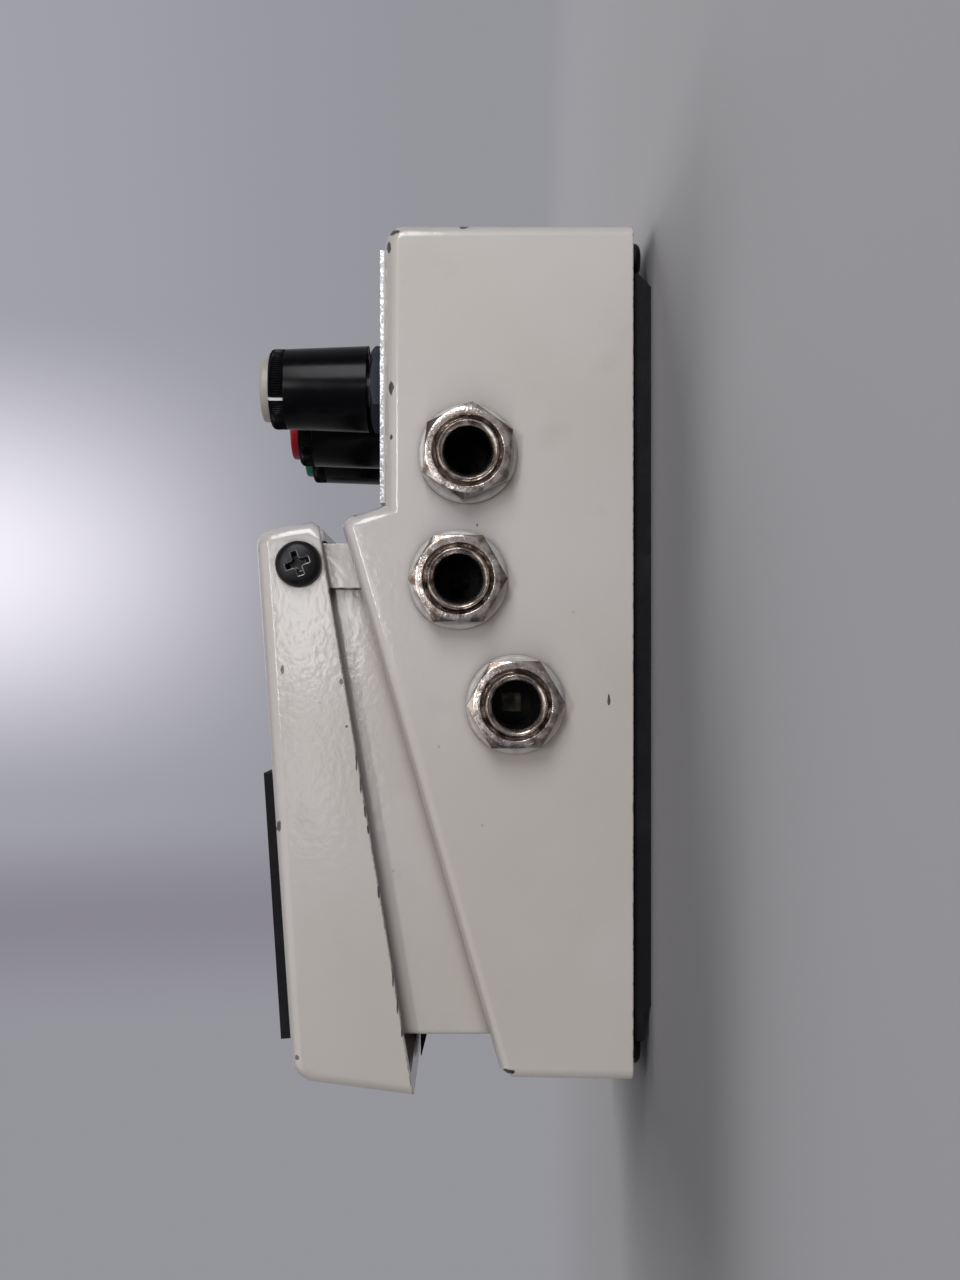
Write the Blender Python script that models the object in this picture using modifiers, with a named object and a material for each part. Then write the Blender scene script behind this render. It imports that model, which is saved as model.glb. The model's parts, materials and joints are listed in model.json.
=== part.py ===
"""Compact foot pedal: a die-cast case with six jacks, three knobs and a spring-loaded treadle.

X runs to the right, Y to the rear (the knob end), Z up. The origin is on the floor at the centre of the
object's box. Depths written "from the rear" are measured forward from the case's rear face.
"""

import math

import bmesh
import bpy
from mathutils import Matrix, Vector

MM = 0.001
GAP = 0.3 * MM  # between pieces that touch
ROUND = 28  # sides of a round piece
WELD = 0.00001

# Overall
CASE_WIDTH = 73.0 * MM
CASE_LENGTH = 126.6 * MM
CASE_HEIGHT = 36.4 * MM  # rim to control deck
TREADLE_OVERHANG = 2.4 * MM  # of the treadle's front edge beyond the case
WALL = 2.4 * MM
EDGE_ROUND = 1.9 * MM

# Base
RUBBER_THICK = 2.5 * MM
RUBBER_INSET = 1.5 * MM  # from the case's sides
RUBBER_REAR = 6.9 * MM  # from the rear
RUBBER_FRONT_INSET = 9.9 * MM  # from the case's front, without its tongue
RUBBER_TONGUE = 4.2 * MM  # thin front lip of the rubber
RUBBER_SLOPE = 2.1 * MM
COVER_THICK = 1.2 * MM
BASE_SCREW_INSET = 3.8 * MM  # from the case's ends
BASE_SCREW_SIDE = 5.9 * MM  # from the case's sides
BASE_SCREW_R = 1.5 * MM
BASE_HEAD_R = 2.5 * MM
BASE_HEAD_THICK = 1.4 * MM
BOSS_R = 3.7 * MM
BOSS_HEIGHT = 13.0 * MM

# Wings: the case's sloped shoulders beside the block
SHELF = 41.4 * MM  # front end of the deck, from the rear
WING_REAR = 44.2 * MM
WING_FRONT_INSET = 1.6 * MM
WING_RISE = 6.7 * MM  # of the wing's rear end above the deck
WING_FRONT_HEIGHT = 19.6 * MM  # of the wing's front end above the rim

# Hinge
HINGE_DEPTH = 50.25 * MM  # from the rear
HINGE_RISE = 6.2 * MM  # of the axis above the wing's rear end
EAR_WALL = 1.15 * MM  # round the screw's hole
EAR_THICK = 4.8 * MM
EAR_CLEARANCE = 0.7 * MM  # from the treadle's side wall
HINGE_SCREW_R = 1.9 * MM
HINGE_HEAD_LIP = 0.4 * MM  # of the head beyond the bush
HINGE_HEAD_THICK = 1.9 * MM
BUSH_WALL = 0.8 * MM

# Block: the narrower casting inside the treadle
BLOCK_SIDE = 5.0 * MM  # from the case's sides
BLOCK_FRONT_INSET = 5.65 * MM
BLOCK_SINK = 2.0 * MM  # of its top below the hinge axis
BLOCK_DROP = 11.6 * MM  # from the hinge to its front
NOSE_CLEARANCE = 0.8 * MM  # round the treadle's rear end as it turns

# Treadle
TREADLE_WALL = 2.2 * MM
TREADLE_FRONT_WALL = 2.9 * MM
TREADLE_INSET = 0.2 * MM  # from the case's sides
TREADLE_REAR_RISE = 6.2 * MM  # top above the hinge axis
TREADLE_TOP_DROP = 5.26 * MM  # from above the hinge to the front
TREADLE_BACK = 6.4 * MM  # rear end behind the hinge axis
TREADLE_NOSE_START = 2.25 * MM  # where its top starts to fall, behind the axis
TREADLE_EDGE_STEP = 0.6 * MM  # rear end of the lower edge in from the rear end
TREADLE_EDGE_START = 2.8 * MM  # rear end of the lower edge below the axis
TREADLE_EDGE_DROP = 14.1 * MM  # from there to the front
TREADLE_FRONT_LEAN = 0.134
TREADLE_NOSE_ROUND = 2.6 * MM
TREADLE_ROUND = 2.0 * MM  # of its top edges
PAD_THICK = 1.7 * MM
PAD_LONG = 40.4 * MM
PAD_FRONT_INSET = 4.9 * MM
PAD_SIDE = 6.0 * MM  # from the case's sides

# Thumbscrew at the treadle's front centre
THUMB_INSET = 4.8 * MM  # of its axis from the case's front
THUMB_R = 6.0 * MM
THUMB_HEIGHT = 7.5 * MM
THUMB_SHANK_R = 2.0 * MM
THUMB_NOTCH = 1.2 * MM  # room round the head
THUMB_SLOT = 1.2 * MM
THUMB_SLOT_DEPTH = 1.5 * MM
SHELF_THICK = 2.3 * MM
POCKET_LIFT = 0.7 * MM  # of the pocket's floor above the treadle's lower edge
POCKET_WALL = 2.0 * MM
GUIDE_HOLE_SLACK = 1.4 * MM  # of the boss's hole round the shank
GUIDE_HOLE_DEPTH = 6.0 * MM
GUIDE_BOSS_WALL = 1.3 * MM
GUIDE_TRAVEL = 3.6 * MM  # room under the bush for the treadle's press
THUMB_REACH = 3.0 * MM  # of the shank into the guide hole
BAY_HALF = 15.5 * MM  # half width of the bay in the block's front, round the thumbscrew
BAY_ROOM = 4.4 * MM  # behind the thumbscrew's head
GUIDE_BORE_SLACK = 1.2 * MM  # of the bush's bore round the shank
GUIDE_TUBE_WALL = 1.2 * MM
GUIDE_FLANGE_WIDTH = 28.0 * MM
GUIDE_FLANGE_THICK = 1.3 * MM
GUIDE_FLANGE_SLOPE = 4.6 * MM  # of its underside, at the front

# Wells in the block
TUB_REAR = 60.0 * MM
TUB_SINK = 25.1 * MM  # of its floor below the hinge axis
TUB_WALL = 1.6 * MM
TUB_FRONT_WALL = 2.1 * MM
WELL_LONG = 14.8 * MM
WELL_SIDE = 4.0 * MM  # from the block's sides
WELL_SINK = 3.465 * MM  # of its floor below the block's top at its front
WELL_FLOOR_THICK = 2.2 * MM

# Battery: a 9 V block, its long side across the pedal
BATTERY_LONG = 46.0 * MM
BATTERY_WIDE = 26.5 * MM
BATTERY_THICK = 17.5 * MM
STUD_R = 2.8 * MM
STUD_HEIGHT = 2.5 * MM
STUD_PITCH = 12.7 * MM
SNAP_THICK = 4.2 * MM
TUB_SLACK = 0.5 * MM
LEAD_ROOM = 2.0 * MM
LEAD_R = 1.0 * MM

# Spring, switch and plunger
SPRING_X = -13.0 * MM
SPRING_INSET = 7.0 * MM  # from the well's front
SPRING_R = 5.2 * MM
SPRING_WIRE_R = 0.6 * MM
SPRING_TURNS = 6
SPRING_POST_R = 3.9 * MM
SPRING_POST_HEIGHT = 3.0 * MM
SPRING_SEAT_HEIGHT = 2.0 * MM
SWITCH_X = 13.0 * MM
SWITCH_INSET = 9.0 * MM
SWITCH_SIDE = 12.0 * MM
SWITCH_HEIGHT = 7.3 * MM
BUTTON_R = 2.7 * MM
BUTTON_RISE = 6.0 * MM  # above the well's floor
BUTTON_LENGTH = 11.7 * MM
BUTTON_TRAVEL = 2.2 * MM
PLUNGER_R = 4.5 * MM
SWITCH_BOARD_WIDE = 23.0 * MM
SWITCH_BOARD_REAR_GAP = 0.8 * MM  # from the tub's front wall
SWITCH_BOARD_FRONT_GAP = 0.5 * MM  # from the bay's rear wall
BOARD_THICK = 1.6 * MM
BOARD_BOSS_R = 2.2 * MM

# Control deck
PLATE_THICK = 0.8 * MM
PLATE_REAR = 3.2 * MM
PLATE_FRONT = 40.9 * MM
PLATE_SIDE = 2.7 * MM  # from the case's sides
KNOB_SPACING = 20.7 * MM
LEVEL_DEPTH = 24.0 * MM
MODE_DEPTH = 21.3 * MM
KNOB_HEIGHT = 15.5 * MM
KNOB_R = 6.75 * MM
KNOB_TAPER = 0.5 * MM
KNOB_RING = 2.3 * MM
CAP_INSET = 1.15 * MM  # from the knob's top edge
CAP_RISE = 1.6 * MM
CAP_SEAT = 1.0 * MM
SHAFT_R = 2.7 * MM
BUSHING_WALL = 0.6 * MM
POT_SIDE = 11.6 * MM
POT_FRONT = 3.7 * MM  # from the shaft to the pot's front face
POT_HEIGHT = 6.5 * MM
MODE_SIDE = 12.4 * MM
MODE_HEIGHT = 8.0 * MM
MODE_NUT_ACROSS = 12.0 * MM
MODE_NUT_THICK = 1.8 * MM
POT_NUT_ACROSS = 9.6 * MM
POT_NUT_THICK = 1.6 * MM
LED_R = 2.5 * MM
LED_DEPTH = 12.5 * MM
LED_RISE = 3.2 * MM

# Jacks: depth from the rear and height above the floor of each
JACKS = ((34.1 * MM, 27.2 * MM), (52.6 * MM, 28.6 * MM), (70.9 * MM, 20.2 * MM))
JACK_BORE_R = 3.45 * MM
JACK_THREAD_WALL = 1.25 * MM
JACK_BODY_SIDE = 12.0 * MM
JACK_BODY_LONG = 21.0 * MM
JACK_BORE_DEPTH = 25.5 * MM
JACK_NUT_WALL = 1.6 * MM  # from the thread to the flats
JACK_NUT_THICK = 2.5 * MM
JACK_PROUD = 0.7 * MM  # thread beyond the nut
JACK_NUT_TURNS = (25.0, 0.0, 1.0)  # degrees, of each pair's nuts about their axis
WASHER_RIM = 2.6 * MM  # beyond the thread
WASHER_THICK = 0.9 * MM

# Power socket and main board
DC_Z = 24.0 * MM
DC_R = 4.3 * MM
DC_BORE_R = 3.2 * MM
DC_PIN_R = 1.05 * MM
DC_SIDE = 10.0 * MM
DC_LONG = 13.0 * MM
BOARD_REAR = 8.0 * MM
BOARD_FRONT_INSET = 8.6 * MM
BOARD_SIDE = 5.5 * MM
BOARD_LIFT = 0.6 * MM

# Worked out
LENGTH = CASE_LENGTH + TREADLE_OVERHANG
REAR_Y = LENGTH / 2
HALF = CASE_WIDTH / 2
RIM_Z = RUBBER_THICK + GAP
DECK_Z = RIM_Z + CASE_HEIGHT
PLATE_TOP = DECK_Z + GAP + PLATE_THICK
PLATE_WIDTH = CASE_WIDTH - 2 * PLATE_SIDE
COVER_TOP = RIM_Z + COVER_THICK
RUBBER_FRONT = CASE_LENGTH - RUBBER_FRONT_INSET
BOARD_FRONT = CASE_LENGTH - BOARD_FRONT_INSET
BOARD_WIDTH = CASE_WIDTH - 2 * BOARD_SIDE
WING_PEAK_Z = DECK_Z + WING_RISE
WING_FRONT = CASE_LENGTH - WING_FRONT_INSET
WING_FALL = (WING_PEAK_Z - RIM_Z - WING_FRONT_HEIGHT) / (WING_FRONT - WING_REAR)
HINGE_Z = WING_PEAK_Z + HINGE_RISE
BUSH_R = HINGE_SCREW_R + GAP + BUSH_WALL
HINGE_HEAD_R = BUSH_R + HINGE_HEAD_LIP
EAR_R = HINGE_SCREW_R + GAP + EAR_WALL
BLOCK_WIDTH = CASE_WIDTH - 2 * BLOCK_SIDE
BLOCK_FRONT = CASE_LENGTH - BLOCK_FRONT_INSET
BLOCK_REAR_Z = HINGE_Z - BLOCK_SINK
BLOCK_FALL = BLOCK_DROP / (BLOCK_FRONT - HINGE_DEPTH)
NOSE_ROOM = TREADLE_BACK + NOSE_CLEARANCE
TREADLE_HALF = HALF - TREADLE_INSET
TREADLE_TOP_START = HINGE_DEPTH - TREADLE_NOSE_START
TREADLE_TOP_FALL = TREADLE_TOP_DROP / (LENGTH - TREADLE_TOP_START)
TREADLE_EDGE_REAR = HINGE_DEPTH - TREADLE_BACK + TREADLE_EDGE_STEP
TREADLE_EDGE_FALL = TREADLE_EDGE_DROP / (LENGTH - TREADLE_EDGE_REAR)
PAD_WIDTH = CASE_WIDTH - 2 * PAD_SIDE
PAD_FRONT = CASE_LENGTH - PAD_FRONT_INSET
PAD_REAR = PAD_FRONT - PAD_LONG
EAR_FACE = TREADLE_HALF - TREADLE_WALL - EAR_CLEARANCE
EAR_INNER = EAR_FACE - EAR_THICK
THUMB_DEPTH = CASE_LENGTH - THUMB_INSET
BAY_REAR = THUMB_DEPTH - THUMB_R - BAY_ROOM
WELL_WIDTH = BLOCK_WIDTH - 2 * WELL_SIDE
WELL_FRONT = BAY_REAR - WALL
WELL_REAR = WELL_FRONT - WELL_LONG
SPRING_DEPTH = WELL_FRONT - SPRING_INSET
SWITCH_DEPTH = WELL_FRONT - SWITCH_INSET
TUB_FLOOR_Z = HINGE_Z - TUB_SINK
GUIDE_HOLE_R = THUMB_SHANK_R + GUIDE_HOLE_SLACK
GUIDE_BORE_R = THUMB_SHANK_R + GUIDE_BORE_SLACK
KNOB_TOP_R = KNOB_R - KNOB_TAPER
CAP_R = KNOB_TOP_R - CAP_INSET
JACK_THREAD_R = JACK_BORE_R + JACK_THREAD_WALL
JACK_NUT_ACROSS = 2 * (JACK_THREAD_R + JACK_NUT_WALL)
WASHER_R = JACK_THREAD_R + WASHER_RIM
PARTS = "foot_pedal"


def aft(depth):
    """The Y of a place that lies this far forward of the rear face."""
    return REAR_Y - depth


def wing_z(depth):
    return WING_PEAK_Z - WING_FALL * (depth - WING_REAR)


def block_z(depth):
    return BLOCK_REAR_Z - BLOCK_FALL * (depth - HINGE_DEPTH)


def treadle_top(depth):
    return HINGE_Z + TREADLE_REAR_RISE - TREADLE_TOP_FALL * (depth - TREADLE_TOP_START)


def treadle_under(depth):
    return treadle_top(depth) - TREADLE_WALL


def treadle_edge(depth):
    """Height of the side walls' lower edge."""
    return HINGE_Z - TREADLE_EDGE_START - TREADLE_EDGE_FALL * (depth - TREADLE_EDGE_REAR)


WELL_FLOOR_Z = block_z(WELL_FRONT) - WELL_SINK
BUTTON_TOP = WELL_FLOOR_Z + BUTTON_RISE
POCKET_FLOOR_Z = treadle_edge(LENGTH) + POCKET_LIFT
HEAD_BOTTOM = POCKET_FLOOR_Z + SHELF_THICK + GAP
GUIDE_BOSS_Z = treadle_edge(LENGTH) - GAP - GUIDE_FLANGE_THICK - GUIDE_TRAVEL


# Scene and materials


def clear_scene():
    for obj in list(bpy.data.objects):
        bpy.data.objects.remove(obj, do_unlink=True)


def collection(name):
    found = bpy.data.collections.get(name)
    if found is None:
        found = bpy.data.collections.new(name)
        bpy.context.scene.collection.children.link(found)
    return found


def material(name, colour, roughness, metallic=0.0):
    mat = bpy.data.materials.get(name)
    if mat is None:
        mat = bpy.data.materials.new(name)
        mat.use_nodes = True
        shader = mat.node_tree.nodes["Principled BSDF"]
        shader.inputs["Base Color"].default_value = (*colour, 1.0)
        shader.inputs["Roughness"].default_value = roughness
        shader.inputs["Metallic"].default_value = metallic
    return mat


def cream_paint():
    return material("cream_paint", (0.62, 0.59, 0.53), 0.35)


def nickel():
    return material("nickel", (0.42, 0.39, 0.36), 0.3, 1.0)


def bright_steel():
    return material("bright_steel", (0.6, 0.6, 0.6), 0.35, 1.0)


def black_steel():
    return material("black_steel", (0.02, 0.02, 0.022), 0.35, 0.8)


def black_plastic():
    return material("black_plastic", (0.012, 0.012, 0.013), 0.3)


def black_rubber():
    return material("black_rubber", (0.02, 0.02, 0.022), 0.8)


def grey_nut():
    return material("blackened_nut", (0.045, 0.055, 0.075), 0.4, 0.6)


def green_board():
    return material("green_board", (0.02, 0.11, 0.05), 0.5)


def white_plastic():
    return material("white_plastic", (0.7, 0.7, 0.66), 0.45)


# Building blocks


def add(obj, name, mat=None):
    """Places a finished part in the model's collection."""
    obj.name = name
    obj.data.name = name
    for holder in list(obj.users_collection):
        holder.objects.unlink(obj)
    collection(PARTS).objects.link(obj)
    if mat is not None:
        obj.data.materials.clear()
        obj.data.materials.append(mat)
    return obj


def helper(obj):
    """Sets aside a shape that only cuts or joins another."""
    for holder in list(obj.users_collection):
        holder.objects.unlink(obj)
    collection("cutters").objects.link(obj)
    obj.hide_render = True
    obj.display_type = "WIRE"
    return obj


def smooth(obj, degrees=35.0):
    obj.data.shade_smooth()
    obj.data.set_sharp_from_angle(angle=math.radians(degrees))
    return obj


def from_bmesh(name, bm):
    mesh = bpy.data.meshes.new(name)
    bm.to_mesh(mesh)
    bm.free()
    obj = bpy.data.objects.new(name, mesh)
    bpy.context.scene.collection.objects.link(obj)
    return obj


def box(name, x, depth, z):
    """A box between pairs of x, depth from the rear, and z."""
    y = (aft(depth[1]), aft(depth[0]))
    size = Vector((x[1] - x[0], y[1] - y[0], z[1] - z[0]))
    middle = Vector((sum(x), sum(y), sum(z))) / 2
    bm = bmesh.new()
    bmesh.ops.create_cube(bm, size=1.0, matrix=Matrix.Diagonal((*size, 1.0)))
    obj = from_bmesh(name, bm)
    obj.location = middle
    return obj


def rod(name, radius, start, end, sides=ROUND, end_radius=None):
    """A cylinder or cone between two points given as (x, depth, z)."""
    a = Vector((start[0], aft(start[1]), start[2]))
    b = Vector((end[0], aft(end[1]), end[2]))
    bm = bmesh.new()
    top = radius if end_radius is None else end_radius
    bmesh.ops.create_cone(
        bm, cap_ends=True, segments=sides, radius1=radius, radius2=top, depth=(b - a).length
    )
    obj = from_bmesh(name, bm)
    obj.location = (a + b) / 2
    obj.rotation_euler = (b - a).to_track_quat("Z", "Y").to_euler()
    return smooth(obj)


def curve_mesh(name, points, half, matrix):
    """A flat outline, extruded both ways by half and welded into a mesh."""
    data = bpy.data.curves.new(name, "CURVE")
    data.dimensions = "2D"
    data.fill_mode = "BOTH"
    data.extrude = half
    spline = data.splines.new("POLY")
    spline.points.add(len(points) - 1)
    for point, (u, v) in zip(spline.points, points):
        point.co = (u, v, 0.0, 1.0)
    spline.use_cyclic_u = True
    flat = bpy.data.objects.new(name, data)
    bpy.context.scene.collection.objects.link(flat)
    flat.matrix_world = matrix
    bpy.context.view_layer.update()
    mesh = bpy.data.meshes.new_from_object(flat.evaluated_get(bpy.context.evaluated_depsgraph_get()))
    bpy.data.objects.remove(flat, do_unlink=True)
    bm = bmesh.new()
    bm.from_mesh(mesh)
    bmesh.ops.remove_doubles(bm, verts=bm.verts, dist=WELD)
    bmesh.ops.dissolve_limit(bm, angle_limit=0.001, verts=bm.verts, edges=bm.edges)
    bmesh.ops.recalc_face_normals(bm, faces=bm.faces)
    bm.to_mesh(mesh)
    bm.free()
    obj = bpy.data.objects.new(name, mesh)
    bpy.context.scene.collection.objects.link(obj)
    obj.matrix_world = matrix
    return obj


def profile(name, outline, x):
    """A side outline of (depth, z) points, extruded across from x[0] to x[1]."""
    turn = Matrix(((0, 0, 1, 0), (1, 0, 0, 0), (0, 1, 0, 0), (0, 0, 0, 1)))
    place = Matrix.Translation(((x[0] + x[1]) / 2, 0, 0))
    points = [(aft(depth), z) for depth, z in outline]
    return curve_mesh(name, points, (x[1] - x[0]) / 2, place @ turn)


def plan(name, outline, z):
    """A plan outline of (x, depth) points, extruded from z[0] to z[1]."""
    place = Matrix.Translation((0, 0, (z[0] + z[1]) / 2))
    points = [(x, aft(depth)) for x, depth in outline]
    return curve_mesh(name, points, (z[1] - z[0]) / 2, place)


def turned(name, outline, place, axis="Z", sides=ROUND):
    """A profile of (radius, height) points, top first, turned about its axis and closed."""
    mesh = bpy.data.meshes.new(name)
    edges = [(i, i + 1) for i in range(len(outline) - 1)]
    if outline[0][0] > 0 and outline[-1][0] > 0:
        edges.append((len(outline) - 1, 0))
    mesh.from_pydata([(r, 0.0, h) for r, h in outline], edges, [])
    obj = bpy.data.objects.new(name, mesh)
    bpy.context.scene.collection.objects.link(obj)
    obj.location = (place[0], aft(place[1]), place[2])
    if axis != "Z":
        obj.rotation_euler = Vector(axis).to_track_quat("Z", "Y").to_euler()
    screw = obj.modifiers.new("turn", "SCREW")
    screw.steps = sides
    screw.render_steps = sides
    screw.use_merge_vertices = True
    screw.merge_threshold = WELD
    screw.use_smooth_shade = True
    return obj


def boolean(obj, other, operation):
    step = obj.modifiers.new(other.name, "BOOLEAN")
    step.operation = operation
    step.object = helper(other)
    step.solver = "EXACT"
    return obj


def cut(obj, *others):
    for other in others:
        boolean(obj, other, "DIFFERENCE")
    return obj


def join(obj, *others):
    for other in others:
        boolean(obj, other, "UNION")
    return obj


def round_edges(obj, width, segments=2, degrees=30.0):
    bevel = obj.modifiers.new("round", "BEVEL")
    bevel.width = width
    bevel.segments = segments
    bevel.limit_method = "ANGLE"
    bevel.angle_limit = math.radians(degrees)
    return obj


def round_sides(obj, outline, width, segments):
    """Rounds the edges of a profile's two end faces, except the one that closes the outline."""
    ends = [Vector((aft(depth), z)) for depth, z in (outline[0], outline[-1])]
    bm = bmesh.new()
    bm.from_mesh(obj.data)
    weight = bm.edges.layers.float.new("bevel_weight_edge")
    for edge in bm.edges:
        a, b = (vert.co for vert in edge.verts)
        along = abs(a.z - b.z) < WELD and edge.calc_face_angle(0.0) > 1.0
        closing = all(min((point.xy - end).length for end in ends) < WELD for point in (a, b))
        edge[weight] = 1.0 if along and not closing else 0.0
    bm.to_mesh(obj.data)
    bm.free()
    bevel = round_edges(obj, width, segments).modifiers["round"]
    bevel.limit_method = "WEIGHT"
    return obj


def arc(centre, radius, start, end, steps):
    """Points on an arc, with angles in degrees."""
    points = []
    for i in range(steps + 1):
        a = math.radians(start + (end - start) * i / steps)
        points.append((centre[0] + radius * math.cos(a), centre[1] + radius * math.sin(a)))
    return points


def carried(obj, axis):
    """Hangs a moving part on the empty that stands on its joint's axis."""
    obj.parent = axis
    obj.matrix_parent_inverse = Matrix.Translation(-axis.location)
    return obj


def joint_axis(name, x, depth, z):
    empty = bpy.data.objects.new(name, None)
    empty.location = (x, aft(depth), z)
    collection(PARTS).objects.link(empty)
    return empty


# Case


def base_screw_places():
    side = HALF - BASE_SCREW_SIDE
    for depth in (BASE_SCREW_INSET, CASE_LENGTH - BASE_SCREW_INSET):
        for x in (-side, side):
            yield x, depth


def case_outline():
    corner = 1.3 * EDGE_ROUND
    return (
        (0.0, RIM_Z),
        *arc((corner, DECK_Z - corner), corner, 180, 90, 4),
        (SHELF, DECK_Z),
        (SHELF + 1.2 * MM, DECK_Z + 3.6 * MM),
        (SHELF + 1.55 * MM, WING_PEAK_Z - 1.3 * MM),
        (WING_REAR + 0.2 * MM, wing_z(WING_REAR + 0.2 * MM)),
        (WING_FRONT, wing_z(WING_FRONT)),
        (CASE_LENGTH - 0.3 * MM, wing_z(WING_FRONT) - 1.8 * MM),
        (CASE_LENGTH, RIM_Z),
    )


def case_cavity():
    """The hollow under the deck and wings, open at the rim."""
    ceiling = DECK_Z - WALL
    under = 1.1 * WALL
    meets = WING_REAR + (WING_PEAK_Z - under - ceiling) / WING_FALL
    front = CASE_LENGTH - WALL
    outline = (
        (WALL, 0.0),
        (WALL, ceiling),
        (meets, ceiling),
        (front - 2 * MM, wing_z(front - 2 * MM) - under),
        (front, wing_z(front) - 2 * under),
        (front, 0.0),
    )
    return profile("case_cavity", outline, (WALL - HALF, HALF - WALL))


def block_solid():
    rear = HINGE_DEPTH
    outline = (
        (rear, wing_z(rear) - WALL / 2),
        (rear, block_z(rear)),
        (BLOCK_FRONT, block_z(BLOCK_FRONT)),
        (BLOCK_FRONT, wing_z(BLOCK_FRONT) - WALL / 2),
    )
    block = profile("block_solid", outline, (-BLOCK_WIDTH / 2, BLOCK_WIDTH / 2))
    cut(block, box("bay", (-BAY_HALF, BAY_HALF), (BAY_REAR, LENGTH), (0.0, HINGE_Z)))
    round_edges(block, 1.0 * MM)
    nose = HINGE_DEPTH, HINGE_Z
    reach = EAR_INNER + GAP
    return cut(block, rod("nose_room", NOSE_ROOM, (-reach, *nose), (reach, *nose)))


def ear(side):
    outline = [
        (HINGE_DEPTH - EAR_R, wing_z(HINGE_DEPTH) - WALL),
        (HINGE_DEPTH + EAR_R, wing_z(HINGE_DEPTH) - WALL),
    ]
    outline += arc((HINGE_DEPTH, HINGE_Z), EAR_R, 0, 180, 10)
    span = sorted((side * EAR_INNER, side * EAR_FACE))
    return profile("ear", outline, span)


def tub_ends():
    """Rear and front of the battery tub's inside."""
    rear = TUB_REAR + TUB_WALL
    return rear, rear + BATTERY_WIDE + LEAD_ROOM + TUB_SLACK


def tub_half():
    return (BATTERY_LONG + STUD_HEIGHT + SNAP_THICK + 2 * GAP) / 2 + TUB_SLACK


def enclosure():
    case = profile("enclosure", case_outline(), (-HALF, HALF))
    round_sides(case, case_outline(), EDGE_ROUND, 3)
    join(case, block_solid())
    thumb = (0.0, THUMB_DEPTH)
    root = wing_z(THUMB_DEPTH) - 1.8 * WALL
    guide = rod("guide_boss", GUIDE_HOLE_R + GUIDE_BOSS_WALL, (*thumb, root), (*thumb, GUIDE_BOSS_Z))
    join(case, guide)
    for side in (-1, 1):
        join(case, ear(side))
    cut(case, case_cavity())
    cut_block_wells(case)
    for x, depth in base_screw_places():
        foot = COVER_TOP + GAP
        join(case, rod("screw_boss", BOSS_R, (x, depth, foot), (x, depth, foot + BOSS_HEIGHT)))
        deep = foot + BOSS_HEIGHT - 3 * MM
        cut(case, rod("screw_hole", BASE_SCREW_R + GAP, (x, depth, 0.0), (x, depth, deep)))
    cut_panel_holes(case)
    cut_side_holes(case)
    return add(smooth(case, 30), "enclosure", cream_paint())


def cut_block_wells(case):
    rear, front = tub_ends()
    half = tub_half()
    floor = WELL_FLOOR_Z - WELL_FLOOR_THICK
    inner = BLOCK_WIDTH / 2 - WALL
    middle = front + TUB_WALL, WELL_FRONT
    cut(case, box("under_well", (-inner, inner), middle, (0.0, floor)))
    for side in (-1, 1):
        span = sorted((side * (BAY_HALF + WALL), side * inner))
        deep = middle[0] + MM, BLOCK_FRONT - WALL
        cut(case, box("beside_bay", span, deep, (0.0, floor - 0.01 * MM)))
    tub_top = wing_z(front)
    shell = half + TUB_WALL
    join(case, box("tub", (-shell, shell), (TUB_REAR, front + TUB_FRONT_WALL), (TUB_FLOOR_Z, tub_top)))
    high = HINGE_Z
    cut(case, box("tub_hollow", (-half, half), (rear, front), (TUB_FLOOR_Z + TUB_WALL, high)))
    well = WELL_WIDTH / 2
    cut(case, box("switch_well", (-well, well), (WELL_REAR, WELL_FRONT), (WELL_FLOOR_Z, high)))
    spring = (SPRING_X, SPRING_DEPTH)
    low, high = WELL_FLOOR_Z - MM, WELL_FLOOR_Z + SPRING_SEAT_HEIGHT
    join(case, rod("spring_seat", SPRING_POST_R, (*spring, low), (*spring, high)))
    for x, depth in switch_board_bosses():
        boss_end = WELL_FLOOR_Z - WELL_FLOOR_THICK - SWITCH_HEIGHT - GAP
        join(case, rod("board_boss", BOARD_BOSS_R, (x, depth, boss_end), (x, depth, WELL_FLOOR_Z - MM)))
    button = (SWITCH_X, SWITCH_DEPTH)
    cut(case, rod("button_hole", BUTTON_R + GAP, (*button, floor - MM), (*button, WELL_FLOOR_Z + MM)))
    lead = lead_place()
    low, high = TUB_FLOOR_Z - MM, TUB_FLOOR_Z + 2 * TUB_WALL
    cut(case, rod("lead_hole", LEAD_R + 2 * GAP, (*lead, low), (*lead, high)))
    thumb = (0.0, THUMB_DEPTH)
    low = GUIDE_BOSS_Z - GUIDE_HOLE_DEPTH
    cut(case, rod("guide_hole", GUIDE_HOLE_R, (*thumb, low), (*thumb, GUIDE_BOSS_Z + MM)))


def switch_board_bosses():
    for side in (-1, 1):
        yield SWITCH_X + side * (SWITCH_BOARD_WIDE / 2 - BOARD_BOSS_R - 0.5 * MM), SWITCH_DEPTH + 4.5 * MM


def cut_panel_holes(case):
    for x, depth in control_places():
        bore = SHAFT_R + GAP + BUSHING_WALL + GAP
        cut(case, rod("control_hole", bore, (x, depth, DECK_Z - 2 * WALL), (x, depth, DECK_Z + MM)))
    led = (0.0, LED_DEPTH)
    cut(case, rod("led_hole", LED_R + GAP, (*led, DECK_Z - 2 * WALL), (*led, DECK_Z + MM)))


def cut_side_holes(case):
    for side in (-1, 1):
        for depth, z in JACKS:
            ends = (side * (HALF - 2 * WALL), depth, z), (side * (HALF + MM), depth, z)
            cut(case, rod("jack_hole", JACK_THREAD_R + GAP, *ends))
        pin = HINGE_SCREW_R + GAP
        ends = (side * (EAR_INNER - MM), HINGE_DEPTH, HINGE_Z), (side * HALF, HINGE_DEPTH, HINGE_Z)
        cut(case, rod("hinge_hole", pin, *ends))
    cut(case, rod("dc_hole", DC_R + GAP, (0.0, -MM, DC_Z), (0.0, 2 * WALL, DC_Z)))


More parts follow.
